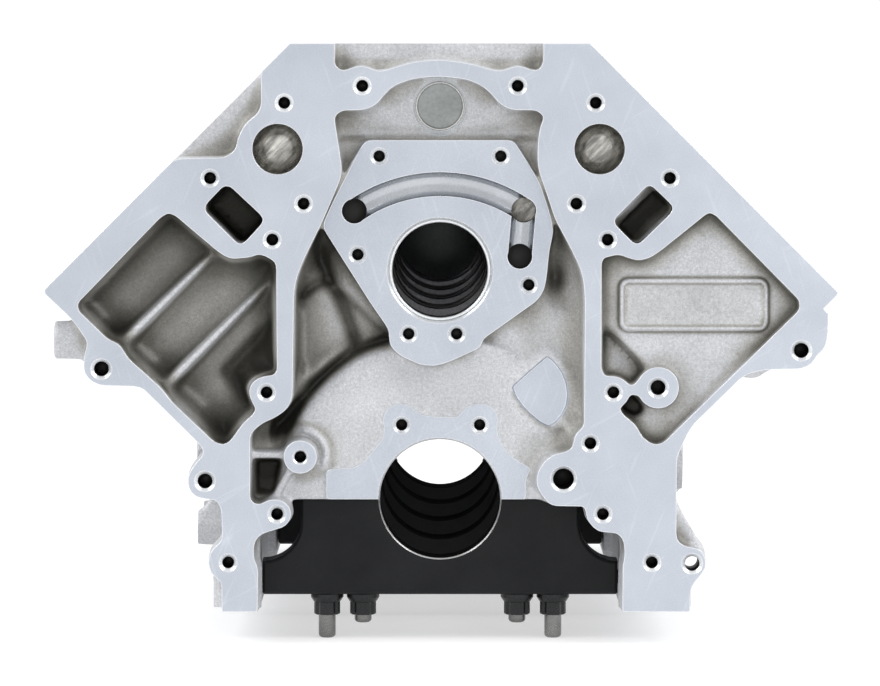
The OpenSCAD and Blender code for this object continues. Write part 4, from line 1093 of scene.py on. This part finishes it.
def front_half():
    f = Field((-234, -3.6, -68.6), (234, 42.4, 270), 1.0)
    casting(f)
    o = f.mesh("block_front", 0.04)
    boolean(o, cuboid((-300, SPLIT, -120), (300, 80, 320), CAST))
    boolean(o, cuboid((-300, -30, -120), (300, 0, 320), FACE))
    common_cuts(o, -5, SPLIT)
    boolean(o, prism(rounded(CAM_CUT, 2.5, 4), -2, 8, FACE))
    boolean(o, prism(rounded(SADDLE, 2.5, 4), 6, 17.4, FACE))
    pv, pf = prism_data(rounded(CRESCENT, 1.0, 3), 12, 19.2)
    wide = grown(rounded(CRESCENT, 1.0, 3), 3.4)
    pv = [(wide[k][0], 12, wide[k][1]) for k in range(len(wide))] + pv[len(wide):]
    boolean(o, obj("cutter", pv, pf, [FACE]))
    boolean(o, cutters([turned([(-6, 12.2), (2, 12.2)], (-80.6, 0, 26), (0, 1, 0), 40)], FACE))
    # chamfers of the two big bores
    boolean(o, cutters([turned([(14, 34.935 + 4.4), (18.4, 34.935), (19, 34.9), (19, 0)], (0, 0, 0), (0, 1, 0), 96)], BORED))
    boolean(o, cutters([turned([(5, 29.4 + 4.1), (9.1, 29.4), (10, 29.35), (10, 0)], (0, 0, CAMZ), (0, 1, 0), 80)], BORED))
    boolean(o, cutters([turned([(10, 22.6), (18.6, 14), (32, 14)], (0, 0, 227.9), (0, 1, 0), 56)], BORED))
    # oil groove: an arc, then a straight run, with a drilling at each end and at the corner
    a0 = math.degrees(math.atan2(167.6 - 97.8, -49.4))
    a1 = math.degrees(math.atan2(168 - 97.8, 48.3))
    arc = arc2(0, 97.8, 85.35, a0, a1, 40)
    boolean(o, cutters([tube(arc, 6.2, 7.15)], GROOVE))
    boolean(o, cutters([tube([(48.3, 168), (46, 141.5)], 6.2, 7.15)], GROOVE))
    ends = []
    for x, z, dark in ((-49.4, 167.6, 1), (48.3, 168, 2), (46, 141.5, 1)):
        pv, pf = turned([(4, 7.15), (8.4, 7.15), (25, 7.15), (28.5, 0)], (x, 0, z), (0, 1, 0), 36)
        ends.append((pv, pf, [0 if k < 36 else dark for k in range(len(pf))]))
    boolean(o, cutters(ends, BORED))
    holes = []
    for p in M8_PAIRS:
        for s in (-1, 1):
            holes.append(drill(s * p[0], 0, p[1], 19, 3.4, 5.3))
    holes.append(drill(86.7, 0, 34, 19, 3.4, 5.3))
    for p in M10_FRONT:
        holes.append(drill(p[0], 0, p[1], 49 if p[1] < -30 else 20, 4.25, 6.1))
    for p in PLATE_BOLTS:
        holes.append(drill(p[0], 8, p[1], 13, 3.3, 5.1))
    for x in (-22.2, 23):
        holes.append(drill(x, 17.4, 43.3, 15, 3.3, 5.0))
    holes.append(drill(-80.6, 2, 26, 17, 3.4, 4.4))
    holes.append(drill(71.2, 0, 13.4, 28, 6, 7.6, segs=36))
    for x in (-93.2, 91.6):
        pv, pf = turned([(-2, 16.6), (0, 14.6), (0.4, 14.3), (9, 14.3), (13, 13.4), (16.5, 11.2), (19, 7.6), (20.4, 0)], (x, 0, 203.5), (0, 1, 0), 56)
        holes.append((pv, pf, [0 if k < 112 else 2 for k in range(len(pf))]))
    boolean(o, cutters(holes, BORED))
    f.stamp(o, 13)
    settle(o, "block_front", "block_casting", slot="block_alloy")
    return len(o.data.polygons)


def rear_half():
    f = Field((-236, 36.2, -69), (236, 525, 270), 2.0)
    casting(f)
    o = f.mesh("block_rear", 0.09)
    boolean(o, cuboid((-300, 0, -120), (300, SPLIT, 320), CAST))
    boolean(o, cuboid((-300, LEN, -120), (300, 600, 320), FACE))
    common_cuts(o, SPLIT, 530)
    boolean(o, cutters([turned([(LEN - 12, 78), (LEN + 9, 78)], (0, 0, 0), (0, 1, 0), 96)], FACE))
    boolean(o, cuboid((-78, LEN - 12, PAN - 9), (78, LEN + 9, 0.5), FACE))
    boolean(o, cuboid((-104.5, ym(4) + 11.5, PAN - 9), (104.5, LEN + 9, -20), FACE))
    boolean(o, cutters([turned([(LEN - 12, 29.4), (LEN + 3, 32.6)], (0, 0, CAMZ), (0, 1, 0), 64)], BORED))
    holes = []
    for s in (-1, 1):
        holes.append(drill(s * 46, LEN, 190, 28, 8.5, 9.2, (0, -1, 0), thread=False, segs=36))
        holes.append(drill(s * 152, LEN, -24, 16, 8, 8.6, (0, -1, 0), thread=False, tip=False, segs=36))
        for x, z in ((153, 4), (137, 68), (100, 116)):
            holes.append(drill(s * x, LEN, z, 21, 5.2, 6.6, (0, -1, 0)))
        holes.append(drill(s * 60, LEN, 183, 28, 5.2, 6.6, (0, -1, 0)))
        for x, z in ((88, 20), (66, 62), (26, 88)):
            holes.append(drill(s * x, LEN, z, 19, 3.4, 4.6, (0, -1, 0)))
    boolean(o, cutters(holes, BORED))
    seats = []
    for s in (-1, 1):
        for i in range(3):
            seats.append(turned([(36, 17), (69, 17), (70.5, 18.5), (76, 18.5)], bank_pt(s, 0, yb(s, i) + PITCH / 2, 190), (s * C45, 0, -C45), 48))
    boolean(o, cutters(seats, BORED))
    mounts = []
    for s in (-1, 1):
        for y in (170, 238):
            for z in (4, -32):
                mounts.append(turned([(148, 14.5), (160, 14.5)], (0, y, z), (s, 0, 0), 40))
    boolean(o, cutters(mounts, FACE))
    f.stamp(o, 16)
    settle(o, "block_rear", "block_casting", slot="block_alloy")
    return len(o.data.polygons)


CAM_CUT = [(-43.2, 209), (42.7, 209), (54.6, 188.5), (57.4, 183.5), (61.2, 172.8), (64.2, 162.5), (65.3, 153), (63.5, 145), (62, 130),
           (60.4, 121.8), (56.3, 115.6), (24.9, 93.2), (23.9, 88.7), (5.2, 80), (-3, 77.7), (-11.2, 78.3), (-23.8, 84.1), (-29.7, 90.2),
           (-29.7, 98.8), (-40.5, 114.2), (-64.2, 151.8), (-67, 158.5), (-66.6, 162), (-61.4, 173.4), (-52.6, 190.5)]

print("front faces", front_half())
print("rear faces", rear_half())


# ---------------------------------------------------------------- main caps
BORE = arc2(0, 0, 34.935, 180, 360, 61)


def cap_outline(first):
    """Lower right side of a cap, mirrored, with the bore; the first cap is notched beside the front-plate bosses."""
    if first:
        P = [(81.2, 0)] + arc2(103.5, -14.5, 22.3, 180, 270, 18) + [(103.5, -55.2), (102.5, -56.2)]
    else:
        P = [(97.9, 0), (97.9, -37.2), (96.6, -38.5), (83, -38.5), (80.4, -39.6), (79, -42), (79, -54.7), (77.5, -56.2)]
    return P + [(-x, z) for x, z in reversed(P)] + BORE


def cap_piece(P, y0, y1, c, front):
    """Bevelled all round by c, and on its outside by a wider one at the front."""
    n = len(P)
    fine = grown(P, -c)
    wide = grown(P, -front)
    outer = [k < n - len(BORE) for k in range(n)]
    a = [wide[k] if outer[k] else fine[k] for k in range(n)]
    # the parting face keeps its height at the outer corners
    for k in range(n):
        if outer[k] and P[k][1] > -0.01:
            a[k] = (wide[k][0], -c)
    fr = [front if outer[k] else c for k in range(n)]
    v = [(a[k][0], y0, a[k][1]) for k in range(n)] + [(P[k][0], y0 + fr[k], P[k][1]) for k in range(n)]
    v += [(p[0], y1 - c, p[1]) for p in P] + [(p[0], y1, p[1]) for p in fine]
    f = []
    for r in range(3):
        for i in range(n):
            j = (i + 1) % n
            f.append([r * n + i, (r + 1) * n + i, (r + 1) * n + j, r * n + j])
    f.append(list(range(n)))
    f.append(list(range(4 * n - 1, 3 * n - 1, -1)))
    return v, f


for i in range(5):
    v, f = cap_piece(cap_outline(i == 0), ym(i) - 12, ym(i) + 12, 0.8, 1.6 if i == 0 else 1.2)
    n = len(v) // 4
    first_bore = n - len(BORE)
    index = []
    # each cap's bore faces take the cap_bore colour, a painted shade; the front bevel of cap 1's bore is bright steel
    for r in range(3):
        index += [(2 if r == 0 and i == 0 else 1) if first_bore <= k < n - 1 else 0 for k in range(n)]
    settle(obj("main_cap_%d" % (i + 1), v, f, [BLACK, CAPBORE, BRIGHT], index + [0, 0]), "cap_%d" % (i + 1), "main_cap_%d" % (i + 1), slot="cap_steel", angle=28)


# ---------------------------------------------------------------- studs, nuts and side bolts
def stud(x, y, tip):
    return turned([(0, 0), (0, 3.3), (0.5, 4.3), (1.3, 4.85), (2.2, 5.0), (50 - tip, 5.0)], (x, y, tip), (0, 0, 1), 32)


def star(x, y, top):
    """Twelve-point nut hanging from the face at z = top: flange, cone, head."""
    v, f = [], []
    segs = 72

    def ring(z, rad):
        k = len(v)
        for j in range(segs):
            a = 2 * math.pi * j / segs
            r = rad(a) if callable(rad) else rad
            v.append((x + r * math.cos(a), y + r * math.sin(a), z))
        return k

    def pts(scale):
        # outline of two hexagons turned 30 degrees against each other
        def r(a):
            q = min(abs(((math.degrees(a) + 15) % 30) - 15), 15)
            return scale * 7.6 * math.cos(math.radians(30)) / math.cos(math.radians(30 - q))
        return r
    bore = 5.0
    ks = [ring(top, bore), ring(top, 9.1), ring(top - 0.4, 9.6), ring(top - 2.6, 9.6), ring(top - 3.2, 9.2), ring(top - 4.9, 8.1), ring(top - 5.3, pts(0.995)),
          ring(top - 12.2, pts(1.0)), ring(top - 12.8, pts(0.93)), ring(top - 12.8, 5.9), ring(top - 12.0, bore)]
    for a, b in zip(ks, ks[1:] + ks[:1]):
        for j in range(segs):
            m = (j + 1) % segs
            f.append([a + j, b + j, b + m, a + m])
    return v, f


for name, x, tip in (("inner", 45, -73.7), ("outer", 66, -82.6)):
    v, f = gather([stud(s * x, ym(i), tip) for s in (-1, 1) for i in range(5)])
    settle(obj("studs_" + name, v, f, [STUD]), "studs_" + name, "main_studs_" + name, slot="black_fastener")
    v, f = gather([star(s * x, ym(i), -56.2) for s in (-1, 1) for i in range(5)])
    settle(obj("nuts_" + name, v, f, [NUTS]), "nuts_" + name, "stud_nuts_" + name, slot="black_fastener", angle=24)


def side_bolt(s, i):
    v, f = [], []
    y = ym(i)
    seat, height = bolt_at(i)
    hexr = lambda a, k: k * 7 * math.cos(math.radians(30)) / math.cos(math.radians(((math.degrees(a) + 30) % 60) - 30))
    segs = 48
    prof = [(84, 0), (84, 3.2), (84.8, 4), (seat, 4), (seat, 8.1), (seat + 0.4, 8.5), (seat + 1.2, 8.5), (seat + 1.6, 8.0)]
    rings = []
    for t, r in prof:
        rings.append([(t, r, None)] if r == 0 else [(t, r, 2 * math.pi * j / segs) for j in range(segs)])
    for t, k in ((seat + 1.65, 0.99), (seat + 6.5, 1.0)):
        rings.append([(t, hexr(2 * math.pi * j / segs, k), 2 * math.pi * j / segs) for j in range(segs)])
    rings.append([(seat + 7.0, min(hexr(2 * math.pi * j / segs, 1.0), 6.05), 2 * math.pi * j / segs) for j in range(segs)])
    rings.append([(seat + 7.0, 0, None)])
    idx = []
    for R in rings:
        idx.append(list(range(len(v), len(v) + len(R))))
        for t, r, a in R:
            v.append((s * t, y + (r * math.cos(a) if a is not None else 0), height + (r * math.sin(a) if a is not None else 0)))
    for p, q in zip(idx, idx[1:]):
        for j in range(segs):
            m = (j + 1) % segs
            if len(p) == 1:
                f.append([p[0], q[j], q[m]])
            elif len(q) == 1:
                f.append([p[j], q[0], p[m]])
            else:
                f.append([p[j], q[j], q[m], p[m]])
    return v, f


v, f = gather([side_bolt(s, i) for s in (-1, 1) for i in range(5)])
settle(obj("side_bolts", v, f, [NUTS]), "side_bolts", "cap_side_bolts", slot="black_fastener", angle=24)


# ---------------------------------------------------------------- liners, bearings and plugs
def liner_piece(s, i, node):
    segs = 96
    a = bank_axis(s)
    base = bank_pt(s, 0, yb(s, i), 0)
    v0, v1 = DECK - 146, DECK
    prof = [(v1 - 1.6, 52.4), (v1 - 50, 52.4), (v1 - 100, 52.4), (v0 + 1, 52.4), (v0, 53.2), (v0, 54.4), (v0 + 0.6, 54.9), (v1 - 0.01, 54.9), (v1 - 0.01, 53.6)]
    v, f = turned(prof, base, a, segs, closed_ring=True)
    index = [1 if k // segs < 3 else 0 for k in range(len(f))]
    o = obj(node, v, f, [IRON, HONED], index)
    uv = o.data.uv_layers.new(name="bore")
    for p in o.data.polygons:
        last = p.index % segs == segs - 1
        for li in p.loop_indices:
            k = o.data.loops[li].vertex_index
            ring, j = divmod(k, segs)
            if last and j == 0:
                j = segs
            uv.data[li].uv = (j / segs * 0.3294, prof[ring][0] / 1000)
    settle(o, node + "_iron", node, slot="liner_iron")


for n in range(4):
    liner_piece(1, n, "liner_%d" % (n + 1))
    liner_piece(-1, n, "liner_%d" % (n + 5))

for n, y0 in enumerate([12, ym(1) - 10, ym(2) - 10, ym(3) - 10, ym(4) - 10]):
    v, f = turned([(0.5, 27.5), (19.5, 27.5), (20, 28), (20, 28.9), (19.5, 29.4), (0.5, 29.4), (0, 28.9), (0, 28)], (0, y0, CAMZ), (0, 1, 0), 80, closed_ring=True)
    index = [1 if n == 0 and k // 80 >= 5 else 0 for k in range(len(f))]
    settle(obj("cam_bearing", v, f, [SHELL, BORED], index), "cam_shell_%d" % (n + 1), "cam_bearing_%d" % (n + 1), slot="bearing_shell")


def cup_piece(r, h, t, origin, axis, segs=56):
    c = 1.0
    prof = [(0, 0), (0, r - c), (0.25, r - c * 0.45), (0.8, r - 0.12), (1.6, r), (h - 0.4, r), (h, r - 0.4), (h, r - t + 0.3), (h - 0.5, r - t),
            (t + 2.2, r - t), (t + 0.9, r - t - 0.5), (t + 0.15, r - t - 1.8), (t, r - t - 3), (t - 0.25, r * 0.5), (t, 0)]
    return turned(prof, origin, axis, segs)


v, f = turned([(0, 0), (0, 13.2), (0.8, 14), (7.6, 14), (8, 13.7), (8, 13.2), (7.6, 13.0), (7.2, 12.6), (7.1, 12.0), (7.1, 0)], (0, 26, 227.9), (0, -1, 0), 72)
settle(obj("cup_plug", v, f, [PLUG, BRIGHT], [1 if 3 <= k // 72 <= 5 else 0 for k in range(len(f))]), "cup_plug", "valley_cup_plug", slot="plug_steel")
for s, side in ((-1, "left"), (1, "right")):
    ax = (s * C45, 0, -C45)
    parts = []
    for i in range(3):
        b = np.array(bank_pt(s, 0, yb(s, i) + PITCH / 2, 190)) + 60.5 * np.array(ax)
        parts.append(cup_piece(17, 9, 1.6, b, ax))
    v, f = gather(parts)
    settle(obj("core_plugs", v, f, [PLUG]), "core_plugs_" + side + "_cups", "core_plugs_" + side, slot="plug_steel")
v, f = cup_piece(29.4, 8, 3, (0, LEN - 12, CAMZ), (0, 1, 0), 72)
settle(obj("cam_plug", v, f, [PLUG]), "cam_plug", "cam_rear_plug", slot="plug_steel")


def socket_plug(x, z):
    """Gallery plug with a six-sided socket."""
    segs = 48
    v, f = [], []

    def hexr(a):
        return 4.6 * math.cos(math.radians(30)) / math.cos(math.radians(((math.degrees(a) + 30) % 60) - 30))
    rows = [(LEN - 14, None), (LEN - 14, 7.9), (LEN - 13.4, 8.5), (LEN - 1.6, 8.5), (LEN - 1, 7.9), (LEN - 1, "wide"), (LEN - 1.5, "hex"), (LEN - 7, "hex"), (LEN - 8.5, None)]
    idx = []
    for y, r in rows:
        if r is None:
            idx.append([len(v)])
            v.append((x, y, z))
            continue
        idx.append(list(range(len(v), len(v) + segs)))
        for j in range(segs):
            a = 2 * math.pi * j / segs
            q = hexr(a) if r == "hex" else (max(hexr(a), 4.5) if r == "wide" else r)
            v.append((x + q * math.cos(a), y, z + q * math.sin(a)))
    for p, q in zip(idx, idx[1:]):
        for j in range(segs):
            m = (j + 1) % segs
            if len(p) == 1:
                f.append([p[0], q[j], q[m]])
            elif len(q) == 1:
                f.append([p[j], q[0], p[m]])
            else:
                f.append([p[j], q[j], q[m], p[m]])
    return v, f


v, f = gather([socket_plug(x, 190) for x in (-46, 46)])
settle(obj("socket_plugs", v, f, [NUTS]), "socket_plugs", "gallery_plugs", slot="black_fastener")
v, f = gather([turned([(0.8, 5), (23.2, 5), (24, 5.8), (24, 7), (22.8, 8), (0.8, 8), (0, 7.2), (0, 5.8)], (x, LEN - 16, -24), (0, 1, 0), 40, closed_ring=True) for x in (-152, 152)])
settle(obj("dowels", v, f, [BRIGHT]), "dowels", "bell_dowels", slot="plug_steel")


# ---------------------------------------------------------------- floor, light and camera
FLOOR_Z = -0.0826


def build_stage():
    m, n, l, b = nt("paper")
    b.inputs["Base Color"].default_value = (0.50, 0.50, 0.50, 1)
    b.inputs["Emission Color"].default_value = (1, 1, 1, 1)
    b.inputs["Emission Strength"].default_value = 0.53
    b.inputs["Roughness"].default_value = 0.9
    b.inputs["Specular IOR Level"].default_value = 0.1
    v, f = [], []
    # sweep: a wide floor that turns up softly far behind
    ys = [-6.0, 6.0] + [6.0 + 3.0 * math.sin(t) for t in np.linspace(0.1, math.pi / 2, 12)]
    zs = [0.0, 0.0] + [3.0 * (1 - math.cos(t)) for t in np.linspace(0.1, math.pi / 2, 12)]
    for y, z in zip(ys, zs):
        v += [(-14, y, FLOOR_Z + z), (14, y, FLOOR_Z + z)]
    for i in range(len(ys) - 1):
        f.append([2 * i, 2 * i + 1, 2 * i + 3, 2 * i + 2])
    me = bpy.data.meshes.new("floor")
    me.from_pydata(v, [], f)
    me.materials.append(m)
    for p in me.polygons:
        p.use_smooth = True
    o = bpy.data.objects.new("floor", me)
    bpy.context.scene.collection.objects.link(o)


def lamp(name, loc, size, power, target=(0, 0, 0.08), color=(1, 1, 1)):
    d = bpy.data.lights.new(name, "AREA")
    d.shape = "RECTANGLE"
    d.size, d.size_y = size
    d.energy = power
    d.color = color
    o = bpy.data.objects.new(name, d)
    o.location = loc
    o.rotation_euler = (Vector(target) - Vector(loc)).to_track_quat("-Z", "Y").to_euler()
    bpy.context.scene.collection.objects.link(o)


build_stage()
w = bpy.data.worlds.new("studio")
w.use_nodes = True
bg = w.node_tree.nodes["Background"]
bg.inputs["Color"].default_value = (1.0, 1.0, 1.0, 1)
bg.inputs["Strength"].default_value = 1.0
bpy.context.scene.world = w
lamp("key_left", (-2.3, -0.75, 1.9), (1.9, 1.9), 46)
lamp("key_right", (2.3, -0.75, 1.8), (1.9, 1.9), 50)
lamp("front_fill", (0.75, -3.0, 0.08), (1.2, 0.5), 1.5)

cam = bpy.data.cameras.new("photo_view")
cam.lens = 192.4
cam.sensor_width = 36
cam.sensor_fit = "HORIZONTAL"
cam.clip_start = 0.05
cam.clip_end = 60
co = bpy.data.objects.new("photo_view", cam)
co.location = (0, -2.960, 0.260)
co.rotation_euler = (math.radians(90 - 3.56), 0, 0)
bpy.context.scene.collection.objects.link(co)
bpy.context.scene.camera = co

bpy.context.scene.view_settings.view_transform = "Standard"
bpy.context.scene.view_settings.look = "None"
